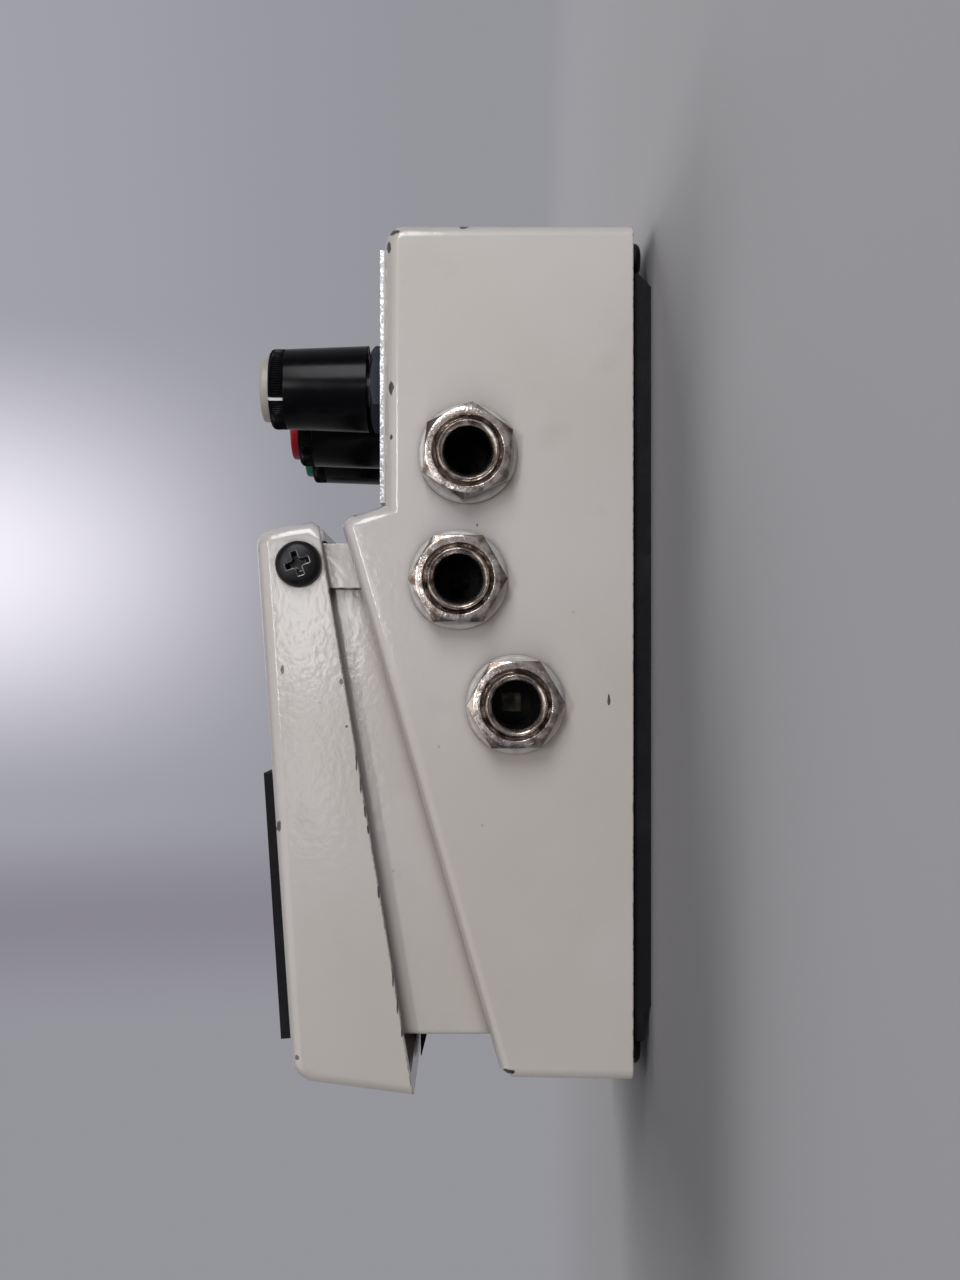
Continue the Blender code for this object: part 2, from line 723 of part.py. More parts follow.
def bottom_cover():
    inset = WALL + GAP
    half = HALF - inset
    cover = box("bottom_cover", (-half, half), (inset, CASE_LENGTH - inset), (RIM_Z, COVER_TOP))
    for x, depth in base_screw_places():
        cut(cover, rod("cover_hole", BASE_SCREW_R + GAP, (x, depth, 0.0), (x, depth, COVER_TOP + MM)))
    return add(cover, "bottom_cover", bright_steel())


def base_rubber():
    tongue = RUBBER_FRONT + RUBBER_TONGUE
    lifted = 0.4 * RUBBER_THICK
    outline = (
        (RUBBER_REAR, RUBBER_THICK),
        (RUBBER_REAR, RUBBER_THICK - lifted / 2),
        (RUBBER_REAR + RUBBER_SLOPE, 0.0),
        (RUBBER_FRONT - lifted, 0.0),
        (RUBBER_FRONT, lifted),
        (tongue - 0.3 * MM, lifted),
        (tongue, lifted + 0.4 * MM),
        (tongue, RUBBER_THICK),
    )
    half = HALF - RUBBER_INSET
    rubber = profile("base_rubber", outline, (-half, half))
    for x, depth in base_screw_places():
        cut(rubber, rod("head_room", BASE_HEAD_R + 2 * GAP, (x, depth, -MM), (x, depth, RIM_Z)))
    return add(rubber, "base_rubber", black_rubber())


def base_screws():
    names = [f"base_screw_{end}_{side}" for end in ("rear", "front") for side in ("left", "right")]
    head_top = RIM_Z - GAP
    outline = (
        (0.0, BOSS_HEIGHT - 2 * MM),
        (BASE_SCREW_R, BOSS_HEIGHT - 2.4 * MM),
        (BASE_SCREW_R, 0.0),
        (BASE_HEAD_R, 0.0),
        (BASE_HEAD_R, -0.6 * BASE_HEAD_THICK),
        (0.7 * BASE_HEAD_R, -BASE_HEAD_THICK),
        (0.0, -BASE_HEAD_THICK),
    )
    for name, (x, depth) in zip(names, base_screw_places()):
        add(turned(name, outline, (x, depth, head_top), sides=16), name, black_steel())


# Control deck


def control_places():
    """Mode, level B and level A, from the right."""
    return (KNOB_SPACING, MODE_DEPTH), (0.0, LEVEL_DEPTH), (-KNOB_SPACING, LEVEL_DEPTH)


def control_plate():
    half = PLATE_WIDTH / 2
    z = (DECK_Z + GAP, PLATE_TOP)
    plate = box("control_plate", (-half, half), (PLATE_REAR, PLATE_FRONT), z)
    for x, depth in control_places():
        bore = SHAFT_R + GAP + BUSHING_WALL + GAP
        cut(plate, rod("plate_hole", bore, (x, depth, DECK_Z), (x, depth, PLATE_TOP + MM)))
    led = (0.0, LED_DEPTH)
    cut(plate, rod("plate_led_hole", LED_R + GAP, (*led, DECK_Z), (*led, PLATE_TOP + MM)))
    return add(plate, "control_plate", bright_steel())


def knob_outline(recess_r):
    """A knob with a hollow underside, a shaft bore and a seat for its cap."""
    bore = SHAFT_R + GAP
    seat = CAP_R + GAP
    skirt = 2.7 * MM
    top = KNOB_HEIGHT
    ring = top - KNOB_RING
    return (
        (0.0, top - CAP_SEAT),
        (seat, top - CAP_SEAT),
        (seat, top),
        (KNOB_TOP_R - 0.4 * MM, top),
        (KNOB_TOP_R, top - 0.4 * MM),
        (KNOB_TOP_R, ring),
        (KNOB_TOP_R - 0.2 * MM, ring - 0.2 * MM),
        (KNOB_R, 0.4 * MM),
        (KNOB_R - 0.3 * MM, 0.0),
        (recess_r, 0.0),
        (recess_r, skirt),
        (bore, skirt),
        (bore, ring - MM),
        (0.0, ring - MM),
    )


def cap_outline():
    top = CAP_SEAT + CAP_RISE - GAP
    return (
        (0.0, top),
        (0.75 * CAP_R, top - 0.1 * MM),
        (0.93 * CAP_R, top - 0.5 * MM),
        (CAP_R, top - 1.2 * MM),
        (CAP_R, 0.0),
        (0.0, 0.0),
    )


def hex_nut(name, place, across, thick, bore, mat, axis="Z", turn=0.0):
    """A chamfered hexagon nut, turned by some degrees. place is the middle of its underside."""
    corner = across / math.sqrt(3)
    chamfer = corner - across / 2
    lens = (
        (0.0, thick),
        (across / 2 - 0.1 * MM, thick),
        (corner + 0.1 * MM, thick - 0.6 * chamfer),
        (corner + 0.1 * MM, 0.1 * MM),
        (corner - 0.2 * MM, 0.0),
        (0.0, 0.0),
    )
    nut = turned(name, lens, place, axis, 24)
    way = Vector((0, 0, 1)) if axis == "Z" else Vector(axis)
    start = Vector((place[0], place[1], place[2]))
    step = Vector((way.x, -way.y, way.z))
    low, high = start - step * MM, start + step * (thick + MM)
    hexagon = rod(name + "_hexagon", corner, low, high, 6)
    hexagon.rotation_euler.rotate_axis("Z", math.radians(turn))
    boolean(nut, hexagon, "INTERSECT")
    cut(nut, rod(name + "_bore", bore, low, high, 24))
    return add(nut, name, mat)


def control(label, place, knob_mat, cap_mat, selector):
    """One control: its pot or switch under the deck, nut, shaft, knob and cap."""
    x, depth = place
    side, height = (MODE_SIDE, MODE_HEIGHT) if selector else (POT_SIDE, POT_HEIGHT)
    across, thick = (MODE_NUT_ACROSS, MODE_NUT_THICK) if selector else (POT_NUT_ACROSS, POT_NUT_THICK)
    bushing_r = SHAFT_R + GAP + BUSHING_WALL
    top = DECK_Z - WALL - GAP
    nut_z = PLATE_TOP + GAP
    shaft_low = top - height + 1.2 * MM
    half = side / 2
    front = depth + (half if selector else POT_FRONT)
    name = "mode_switch" if selector else "pot_" + label
    pot = box(name, (x - half, x + half), (front - side, front), (top - height, top))
    bushing_top = nut_z + thick - 0.1 * MM
    join(pot, rod(name + "_bushing", bushing_r, (x, depth, top - MM), (x, depth, bushing_top), 24))
    cut(pot, rod(name + "_bore", SHAFT_R + GAP, (x, depth, shaft_low), (x, depth, bushing_top + MM), 24))
    add(pot, name, bright_steel())
    nut_name = "mode_nut" if selector else "pot_nut_" + label[-1]
    nut_mat = grey_nut() if selector else nickel()
    hex_nut(nut_name, (x, depth, nut_z), across, thick, bushing_r + GAP, nut_mat)
    knob_z = nut_z + thick + GAP if selector else PLATE_TOP + GAP
    recess = KNOB_R - 0.85 * MM
    axis = joint_axis("axis_" + label, x, depth, knob_z)
    knob = turned("knob_" + label, knob_outline(recess), (x, depth, knob_z))
    add(knob, "knob_" + label, knob_mat)
    cap_z = knob_z + KNOB_HEIGHT - CAP_SEAT + GAP
    cap = turned("cap_" + label, cap_outline(), (x, depth, cap_z))
    add(cap, "cap_" + label, cap_mat)
    shaft_top = knob_z + KNOB_HEIGHT - KNOB_RING - MM - GAP
    shaft = rod("shaft_" + label, SHAFT_R, (x, depth, shaft_low + GAP), (x, depth, shaft_top), 24)
    add(shaft, "shaft_" + label, bright_steel())
    for piece in (knob, cap, shaft):
        carried(piece, axis)


def controls():
    mode, level_b, level_a = control_places()
    cream = material("cap_cream", (0.55, 0.50, 0.42), 0.35)
    red = material("cap_red", (0.45, 0.01, 0.02), 0.3)
    green = material("cap_green", (0.01, 0.22, 0.09), 0.3)
    control("mode", mode, black_plastic(), cream, True)
    control("level_b", level_b, black_plastic(), red, False)
    control("level_a", level_a, black_plastic(), green, False)


def led():
    dome = PLATE_TOP + LED_RISE - DECK_Z
    outline = []
    for degrees in range(0, 91, 18):
        turn = math.radians(degrees)
        outline.append((LED_R * math.sin(turn), dome - LED_R * (1 - math.cos(turn))))
    outline += [(LED_R, -4.0 * MM), (0.0, -4.0 * MM)]
    lamp = turned("led", outline, (0.0, LED_DEPTH, DECK_Z), sides=20)
    return add(lamp, "led", material("led_red", (0.4, 0.01, 0.01), 0.2))


# Jacks and power


def jack(side, number, depth, z):
    tag = ("right" if side > 0 else "left") + f"_{number}"
    inner = HALF - WALL - GAP
    half = JACK_BODY_SIDE / 2
    washer_at = HALF + GAP
    nut_at = washer_at + WASHER_THICK + GAP
    mouth = nut_at + JACK_NUT_THICK + JACK_PROUD
    x = sorted((side * (inner - JACK_BODY_LONG), side * inner))
    body = box("jack_socket_" + tag, x, (depth - half, depth + half), (z - half, z + half))
    ends = (side * (inner - MM), depth, z), (side * mouth, depth, z)
    join(body, rod("thread_" + tag, JACK_THREAD_R, *ends, 24))
    deep = mouth - JACK_BORE_DEPTH
    ends = (side * deep, depth, z), (side * (mouth + MM), depth, z)
    cut(body, rod("bore_" + tag, JACK_BORE_R, *ends, 24))
    add(body, "jack_socket_" + tag, nickel())
    axis = (float(side), 0.0, 0.0)
    bore = JACK_THREAD_R + GAP
    ring = ((bore, WASHER_THICK), (WASHER_R, WASHER_THICK), (WASHER_R, 0.0), (bore, 0.0))
    washer = turned("jack_washer_" + tag, ring, (side * washer_at, depth, z), axis)
    add(washer, "jack_washer_" + tag, nickel())
    place = (side * nut_at, depth, z)
    turn = JACK_NUT_TURNS[number - 1]
    hex_nut("jack_nut_" + tag, place, JACK_NUT_ACROSS, JACK_NUT_THICK, bore, nickel(), axis, turn)


def jacks():
    for side in (-1, 1):
        for number, (depth, z) in enumerate(JACKS, 1):
            jack(side, number, depth, z)


def dc_socket():
    half = DC_SIDE / 2
    start = WALL + GAP
    body = box("dc_socket", (-half, half), (start, start + DC_LONG), (DC_Z - half, DC_Z + half))
    face = 0.2 * MM
    join(body, rod("dc_barrel", DC_R, (0.0, start + MM, DC_Z), (0.0, face, DC_Z)))
    deep = start + 0.7 * DC_LONG
    cut(body, rod("dc_bore", DC_BORE_R, (0.0, deep, DC_Z), (0.0, face - MM, DC_Z)))
    join(body, rod("dc_pin", DC_PIN_R, (0.0, deep + MM, DC_Z), (0.0, face + MM, DC_Z), 12))
    return add(body, "dc_socket", black_plastic())


def main_board():
    z = COVER_TOP + BOARD_LIFT
    top = z + BOARD_THICK
    half = BOARD_WIDTH / 2
    board = box("main_board", (-half, half), (BOARD_REAR, BOARD_FRONT), (z, top))
    for i, (x, depth) in enumerate(((-8, 30), (0, 46), (8, 62), (-20, 88), (6, 96), (20, 104))):
        place = x * MM, depth * MM
        join(board, rod(f"capacitor_{i}", 2.5 * MM, (*place, top - MM), (*place, top + 6 * MM), 12))
    for i, (x, depth) in enumerate(((-6, 78), (10, 78), (-6, 108))):
        wide, deep = 4.8 * MM, 3.2 * MM
        span = (x * MM - wide, x * MM + wide), (depth * MM - deep, depth * MM + deep)
        join(board, box(f"chip_{i}", *span, (top - MM, top + 3.4 * MM)))
    return add(board, "main_board", green_board())


# Treadle


def front_face(z):
    """Depth of the treadle's slanted front face at a height."""
    return LENGTH - TREADLE_FRONT_LEAN * (z - treadle_edge(LENGTH))


def treadle_outline():
    rear = HINGE_DEPTH - TREADLE_BACK
    step = TREADLE_EDGE_STEP
    top = treadle_top(rear)
    corner = TREADLE_NOSE_ROUND
    outline = [
        (rear + step, treadle_edge(rear + step)),
        (rear, HINGE_Z - 1.8 * MM),
        (rear + 0.4 * MM, HINGE_Z + 1.4 * MM),
    ]
    for a in quarter(4):
        outline.append((rear + MM + corner * (1 - math.cos(a)), top - corner * (1 - math.sin(a))))
    lip = treadle_top(front_face(HINGE_Z))
    outline += [
        (front_face(lip) - 2.3 * MM, treadle_top(front_face(lip) - 2.3 * MM)),
        (front_face(lip) - 0.7 * MM, lip - 0.8 * MM),
        (front_face(lip - 2.4 * MM), lip - 2.4 * MM),
        (LENGTH, treadle_edge(LENGTH)),
    ]
    return outline


def quarter(steps):
    return [math.radians(15 + 75 * i / steps) for i in range(steps + 1)]


def treadle_inside(name, share, rear, low, half):
    """The room inside the treadle, leaving this share of its top and front wall."""
    top = TREADLE_WALL * share
    front = TREADLE_FRONT_WALL * share
    high = treadle_top(LENGTH) - top
    outline = (
        (rear, low),
        (rear, treadle_top(rear) - top),
        (front_face(high) - front, treadle_top(front_face(high) - front) - top),
        (front_face(low) - front, low),
    )
    return profile(name, outline, (-half, half))


def treadle():
    shell = profile("treadle", treadle_outline(), (-TREADLE_HALF, TREADLE_HALF))
    round_sides(shell, treadle_outline(), TREADLE_ROUND, 3)
    half = TREADLE_HALF - TREADLE_WALL
    rear = HINGE_DEPTH - TREADLE_BACK + TREADLE_WALL
    cut(shell, treadle_inside("treadle_hollow", 1.0, rear, GUIDE_BOSS_Z, half))
    thumb = (0.0, THUMB_DEPTH)
    notch = THUMB_R + THUMB_NOTCH
    wall = notch + POCKET_WALL
    shelf = POCKET_FLOOR_Z + SHELF_THICK
    high = HINGE_Z + 10 * MM
    pocket = treadle_inside("pocket", 0.5, THUMB_DEPTH, POCKET_FLOOR_Z, wall)
    nearly = 0.01 * MM
    back = THUMB_DEPTH - 2 * wall
    back = treadle_inside("pocket_back", 0.6, back, POCKET_FLOOR_Z + nearly, 2 * wall)
    boolean(back, rod("pocket_round", wall - nearly, (*thumb, 0.0), (*thumb, high)), "INTERSECT")
    join(shell, pocket, back)
    cut(shell, rod("notch_round", notch, (*thumb, shelf), (*thumb, high)))
    cut(shell, box("notch_front", (-notch, notch), (THUMB_DEPTH, LENGTH + MM), (shelf, high)))
    tube = GUIDE_BORE_R + GUIDE_TUBE_WALL + GAP
    cut(shell, rod("tube_hole", tube, (*thumb, POCKET_FLOOR_Z - MM), (*thumb, shelf + MM)))
    post = (SPRING_X, SPRING_DEPTH)
    under = treadle_under(SPRING_DEPTH)
    ends = (*post, under + MM), (*post, under - SPRING_POST_HEIGHT)
    join(shell, rod("spring_post", SPRING_POST_R, *ends))
    for side in (-1, 1):
        span = sorted((side * (EAR_INNER - 2 * GAP), side * (half - nearly)))
        deep = HINGE_DEPTH - TREADLE_BACK - MM, HINGE_DEPTH
        tall = HINGE_Z - 10 * MM, HINGE_Z + EAR_R + 0.4 * MM
        cut(shell, box("ear_room", span, deep, tall))
        ends = (side * (half - MM), HINGE_DEPTH, HINGE_Z), (side * (HALF + MM), HINGE_DEPTH, HINGE_Z)
        cut(shell, rod("bush_hole", BUSH_R + GAP, *ends))
    return add(smooth(shell, 30), "treadle", cream_paint())


def treadle_pad():
    """The rubber tread, cut out round the thumbscrew, lying on the sloping top."""
    half = PAD_WIDTH / 2
    radius = THUMB_R + THUMB_NOTCH + 0.8 * MM
    start = math.degrees(math.asin((PAD_FRONT - THUMB_DEPTH) / radius))
    outline = [(-half, PAD_REAR), (half, PAD_REAR), (half, PAD_FRONT)]
    outline += arc((0.0, THUMB_DEPTH), radius, start, start - (180 + 2 * start), 14)
    outline.append((-half, PAD_FRONT))
    low = treadle_top(PAD_REAR) + GAP
    pad = plan("treadle_pad", outline, (low, low + PAD_THICK))
    slope = math.atan(TREADLE_TOP_FALL)
    pivot = Vector((0.0, aft(PAD_REAR), low))
    turn = Matrix.Translation(pivot) @ Matrix.Rotation(slope, 4, "X") @ Matrix.Translation(-pivot)
    pad.matrix_world = turn @ pad.matrix_world
    return add(pad, "treadle_pad", black_rubber())


def hinge_parts(side, word):
    """A pan head screw through a plastic bush, into the block's ear."""
    out = TREADLE_HALF + GAP
    shank = out - EAR_INNER - 1.5 * MM
    dome = HINGE_HEAD_THICK
    outline = (
        (0.0, dome),
        (0.55 * HINGE_HEAD_R, 0.92 * dome),
        (0.85 * HINGE_HEAD_R, 0.68 * dome),
        (HINGE_HEAD_R, 0.25 * dome),
        (HINGE_HEAD_R, 0.0),
        (HINGE_SCREW_R, 0.0),
        (HINGE_SCREW_R, -shank),
        (0.0, -shank),
    )
    axis = (float(side), 0.0, 0.0)
    name = "hinge_screw_" + word
    add(turned(name, outline, (side * out, HINGE_DEPTH, HINGE_Z), axis, 24), name, black_steel())
    inner = HINGE_SCREW_R + GAP
    long = TREADLE_WALL
    ring = ((inner, long), (BUSH_R, long), (BUSH_R, 0.0), (inner, 0.0))
    name = "hinge_bush_" + word
    start = side * (TREADLE_HALF - long - GAP / 2)
    return add(turned(name, ring, (start, HINGE_DEPTH, HINGE_Z), axis, 24), name, white_plastic())


def thumbscrew():
    tip = GUIDE_BOSS_Z - THUMB_REACH - HEAD_BOTTOM
    flare = 0.5 * MM
    outline = (
        (0.0, THUMB_HEIGHT),
        (THUMB_R - flare, THUMB_HEIGHT),
        (THUMB_R, THUMB_HEIGHT - flare),
        (THUMB_R, flare),
        (THUMB_R - flare, 0.0),
        (THUMB_SHANK_R, 0.0),
        (THUMB_SHANK_R, tip + flare),
        (THUMB_SHANK_R - flare, tip),
        (0.0, tip),
    )
    screw = turned("thumbscrew", outline, (0.0, THUMB_DEPTH, HEAD_BOTTOM))
    top = HEAD_BOTTOM + THUMB_HEIGHT
    wide = THUMB_R + MM
    long = THUMB_SLOT / 2
    slot = (-wide, wide), (THUMB_DEPTH - long, THUMB_DEPTH + long)
    cut(screw, box("slot", *slot, (top - THUMB_SLOT_DEPTH, top + MM)))
    return add(screw, "thumbscrew", black_steel())


def guide_bush():
    """A flanged plastic bush under the treadle's shelf, its tube round the thumbscrew's shank."""
    top = treadle_edge(LENGTH) - GAP
    low = top - GUIDE_FLANGE_THICK
    half = GUIDE_FLANGE_WIDTH / 2
    rear = THUMB_DEPTH - THUMB_R - MM
    front = LENGTH - GAP
    outline = (
        (rear, low + GAP),
        (rear, top),
        (front, top),
        (front, top - GAP / 2),
        (front - GUIDE_FLANGE_SLOPE, low),
        (rear + GAP, low),
    )
    flange = profile("guide_bush", outline, (-half, half))
    place = (0.0, THUMB_DEPTH)
    tube_r = GUIDE_BORE_R + GUIDE_TUBE_WALL
    ends = (*place, low + GAP), (*place, POCKET_FLOOR_Z + SHELF_THICK - GAP)
    join(flange, rod("bush_tube", tube_r, *ends, 24))
    cut(flange, rod("bush_bore", GUIDE_BORE_R, (*place, low - MM), (*place, HEAD_BOTTOM), 24))
    return add(flange, "guide_bush", black_plastic())


def treadle_spring():
    """A coil as one wire, standing on the well's floor."""
    low = WELL_FLOOR_Z + GAP + SPRING_WIRE_R
    high = treadle_under(SPRING_DEPTH + SPRING_R) - GAP - SPRING_WIRE_R
    data = bpy.data.curves.new("treadle_spring", "CURVE")
    data.dimensions = "3D"
    data.bevel_depth = SPRING_WIRE_R
    data.bevel_resolution = 1
    data.use_fill_caps = True
    per_turn = 14
    count = per_turn * SPRING_TURNS + 1
    spline = data.splines.new("POLY")
    spline.points.add(count - 1)
    for i, point in enumerate(spline.points):
        share = i / (count - 1)
        turn = 2 * math.pi * i / per_turn
        x, y = SPRING_R * math.cos(turn), SPRING_R * math.sin(turn)
        point.co = (x, y, low + (high - low) * share, 1.0)
    coil = bpy.data.objects.new("treadle_spring", data)
    bpy.context.scene.collection.objects.link(coil)
    coil.location = (SPRING_X, aft(SPRING_DEPTH), 0.0)
    return add(coil, "treadle_spring", bright_steel())


def switch_plunger():
    top = treadle_under(SWITCH_DEPTH + PLUNGER_R) - GAP
    low = BUTTON_TOP + GAP
    outline = (
        (0.0, top - low),
        (PLUNGER_R, top - low),
        (0.85 * PLUNGER_R, 0.5 * MM),
        (0.75 * PLUNGER_R, 0.0),
        (0.0, 0.0),
    )
    plunger = turned("switch_plunger", outline, (SWITCH_X, SWITCH_DEPTH, low), sides=20)
    return add(plunger, "switch_plunger", black_rubber())


def foot_switch():
    top = WELL_FLOOR_Z - WELL_FLOOR_THICK - GAP
    half = SWITCH_SIDE / 2
    place = (SWITCH_X, SWITCH_DEPTH)
    x = (SWITCH_X - half, SWITCH_X + half)
    depth = (SWITCH_DEPTH - half, SWITCH_DEPTH + half)
    body = box("foot_switch", x, depth, (top - SWITCH_HEIGHT, top))
    floor = BUTTON_TOP - BUTTON_LENGTH - BUTTON_TRAVEL - GAP
    cut(body, rod("button_room", BUTTON_R + GAP, (*place, floor), (*place, top + MM), 20))
    add(body, "foot_switch", black_plastic())
    ends = (*place, BUTTON_TOP - BUTTON_LENGTH), (*place, BUTTON_TOP)
    button = rod("foot_switch_button", BUTTON_R, *ends, 20)
    add(button, "foot_switch_button", white_plastic())
    board_top = top - SWITCH_HEIGHT - GAP
    wide = SWITCH_BOARD_WIDE / 2
    rear = tub_ends()[1] + TUB_FRONT_WALL + SWITCH_BOARD_REAR_GAP
    x = (SWITCH_X - wide, SWITCH_X + wide)
    depth = (rear, WELL_FRONT - SWITCH_BOARD_FRONT_GAP)
    board = box("switch_board", x, depth, (board_top - BOARD_THICK, board_top))
    add(board, "switch_board", green_board())
    return button


# Battery


def battery_x():
    """Outer end of the battery's base, at the tub's left wall."""
    return GAP + TUB_SLACK / 2 - tub_half()


def snap_x():
    return battery_x() + BATTERY_LONG + STUD_HEIGHT + GAP


def lead_place():
    rear, front = tub_ends()
    return snap_x() + SNAP_THICK / 2, front - LEAD_ROOM / 2 - GAP


def battery_parts():
    rear = tub_ends()[0] + GAP
    z = TUB_FLOOR_Z + TUB_WALL + GAP
    x = battery_x()
    face = x + BATTERY_LONG
    middle_depth = rear + BATTERY_WIDE / 2
    middle_z = z + BATTERY_THICK / 2
    block = box("battery", (x, face), (rear, rear + BATTERY_WIDE), (z, z + BATTERY_THICK))
    for side in (-1, 1):
        depth = middle_depth + side * STUD_PITCH / 2
        ends = (face - MM, depth, middle_z), (face + STUD_HEIGHT, depth, middle_z)
        join(block, rod("stud", STUD_R, *ends, 16))
    add(block, "battery", material("battery_wrap", (0.05, 0.05, 0.06), 0.4))
    start = snap_x()
    spare = MM
    cap_depth = (rear + spare, rear + BATTERY_WIDE - spare)
    cap_z = (z + spare, z + BATTERY_THICK - spare)
    snap = box("battery_snap", (start, start + SNAP_THICK), cap_depth, cap_z)
    add(snap, "battery_snap", black_plastic())
    lead(cap_depth[1], middle_z)


def lead(snap_end, snap_z):
    """The snap's lead: out of its front end, then down through the tub's floor to the board."""
    x, depth = lead_place()
    start = snap_end + GAP
    bend = depth - start
    route = []
    for i in range(6):
        turn = math.radians(18 * i)
        route.append((x, aft(start + bend * math.sin(turn)), snap_z - bend * (1 - math.cos(turn))))
    route.append((x, aft(depth), COVER_TOP + BOARD_LIFT + BOARD_THICK + GAP))
    data = bpy.data.curves.new("battery_lead", "CURVE")
    data.dimensions = "3D"
    data.bevel_depth = LEAD_R
    data.bevel_resolution = 2
    data.use_fill_caps = True
    spline = data.splines.new("POLY")
    spline.points.add(len(route) - 1)
    for point, place in zip(spline.points, route):
        point.co = (*place, 1.0)
    wire = bpy.data.objects.new("battery_lead", data)
    bpy.context.scene.collection.objects.link(wire)
    return add(wire, "battery_lead", black_plastic())


def build():
    clear_scene()
    enclosure()
    bottom_cover()
    base_rubber()
    base_screws()
    control_plate()
    controls()
    led()
    jacks()
    dc_socket()
    main_board()
    battery_parts()
    treadle_spring()
    hinge = joint_axis("axis_treadle", 0.0, HINGE_DEPTH, HINGE_Z)
    for side, word in ((-1, "left"), (1, "right")):
        carried(hinge_parts(side, word), hinge)
    for piece in (treadle(), treadle_pad(), guide_bush(), switch_plunger()):
        carried(piece, hinge)
    screw_axis = joint_axis("axis_thumbscrew", 0.0, THUMB_DEPTH, HEAD_BOTTOM)
    carried(thumbscrew(), screw_axis)
    button_axis = joint_axis("axis_button", SWITCH_X, SWITCH_DEPTH, BUTTON_TOP)
    carried(foot_switch(), button_axis)


build()
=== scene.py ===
"""The looks of a small foot pedal: paint, metal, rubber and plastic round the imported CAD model.

The pedal's own axes are the frame's: +X is its right side, +Y its rear end and +Z up."""

import json
import math

import bmesh
import bpy
from mathutils import Matrix, Vector


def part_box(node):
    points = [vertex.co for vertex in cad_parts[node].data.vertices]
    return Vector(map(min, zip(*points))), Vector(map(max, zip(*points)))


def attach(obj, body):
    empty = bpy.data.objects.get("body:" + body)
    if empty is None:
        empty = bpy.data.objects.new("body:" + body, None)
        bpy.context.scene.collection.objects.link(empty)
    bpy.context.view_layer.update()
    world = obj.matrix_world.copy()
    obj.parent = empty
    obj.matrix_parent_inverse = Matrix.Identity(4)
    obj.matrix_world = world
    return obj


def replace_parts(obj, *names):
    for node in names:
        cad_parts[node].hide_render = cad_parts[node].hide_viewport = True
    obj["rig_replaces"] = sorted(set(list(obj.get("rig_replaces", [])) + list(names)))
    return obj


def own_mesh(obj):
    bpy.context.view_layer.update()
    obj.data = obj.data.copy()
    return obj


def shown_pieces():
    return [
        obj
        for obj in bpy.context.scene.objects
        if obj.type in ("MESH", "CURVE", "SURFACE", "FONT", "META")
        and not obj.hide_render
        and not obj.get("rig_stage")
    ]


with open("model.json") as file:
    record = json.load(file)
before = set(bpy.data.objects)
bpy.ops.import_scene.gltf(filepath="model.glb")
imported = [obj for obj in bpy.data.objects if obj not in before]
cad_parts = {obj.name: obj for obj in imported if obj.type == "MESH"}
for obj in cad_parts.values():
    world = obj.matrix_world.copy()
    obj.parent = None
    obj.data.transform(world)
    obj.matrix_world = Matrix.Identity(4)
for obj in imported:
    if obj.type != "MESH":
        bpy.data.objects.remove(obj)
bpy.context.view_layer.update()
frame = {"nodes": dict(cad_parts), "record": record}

MM = 0.001
FULL_TURN = 2 * math.pi
UP = Vector((0, 0, 1))
RIGHT = Vector((1, 0, 0))
OUTWARD = {"right": RIGHT, "left": -RIGHT}
KNOBS = ("mode", "level_a", "level_b")

NODES = frame["nodes"]
BEHAVIOUR = frame["record"]["behaviour"]
SLOT_OF = {part["node"]: part["material_slot"] for part in frame["record"]["subparts"]}
BODY_OF = {node: body for body, members in BEHAVIOUR["bodies"].items() for node in members}
JOINTS = {joint["name"]: joint for joint in BEHAVIOUR["joints"]}

# The paint, its dirt, the shade painted into its corners and the metal beneath it
CREAM = (0.452, 0.426, 0.416)
CREAM_AGED = (0.415, 0.384, 0.352)
CREAM_SHADE = (0.27, 0.24, 0.215)
# the colour of the shade painted into the paint's corners and gaps
CREVICE_PAINTED_SHADE = (0.15, 0.115, 0.095)
BARE_METAL = (0.10, 0.097, 0.095)

# The dark plastics and metals
BLACK_PRINT = (0.015, 0.015, 0.017)
BLACK_SLEEVE = (0.02, 0.02, 0.024)
BLACK_STEEL = (0.010, 0.0095, 0.011)

# The floor, the backdrop and the room
FLOOR = (0.30, 0.295, 0.308)
BACKDROP = (0.30, 0.298, 0.33)
BACKDROP_HIGH = (0.36, 0.36, 0.42)
BACKDROP_GLOW = (0.95, 0.92, 1.01)
BACKDROP_DIM = (0.25, 0.24, 0.28)
ROOM = (0.06, 0.06, 0.065)
ROOM_NEAR_CAMERA = (0.20, 0.205, 0.25)
CAMERA_SIDE_AT = (0.985, 0.15, 0.05)
WINDOW = (1.15, 1.12, 1.10)
WINDOW_AT = (0.5, -0.25, 0.83)
AMBIENT = (0.19, 0.19, 0.197)


# ---- Materials ----

MIX_FIRST, MIX_SECOND, MIX_RESULT = 6, 7, 2  # the colour sockets of a Mix node
NO_VECTOR = (0.0, 0.0, 0.0)


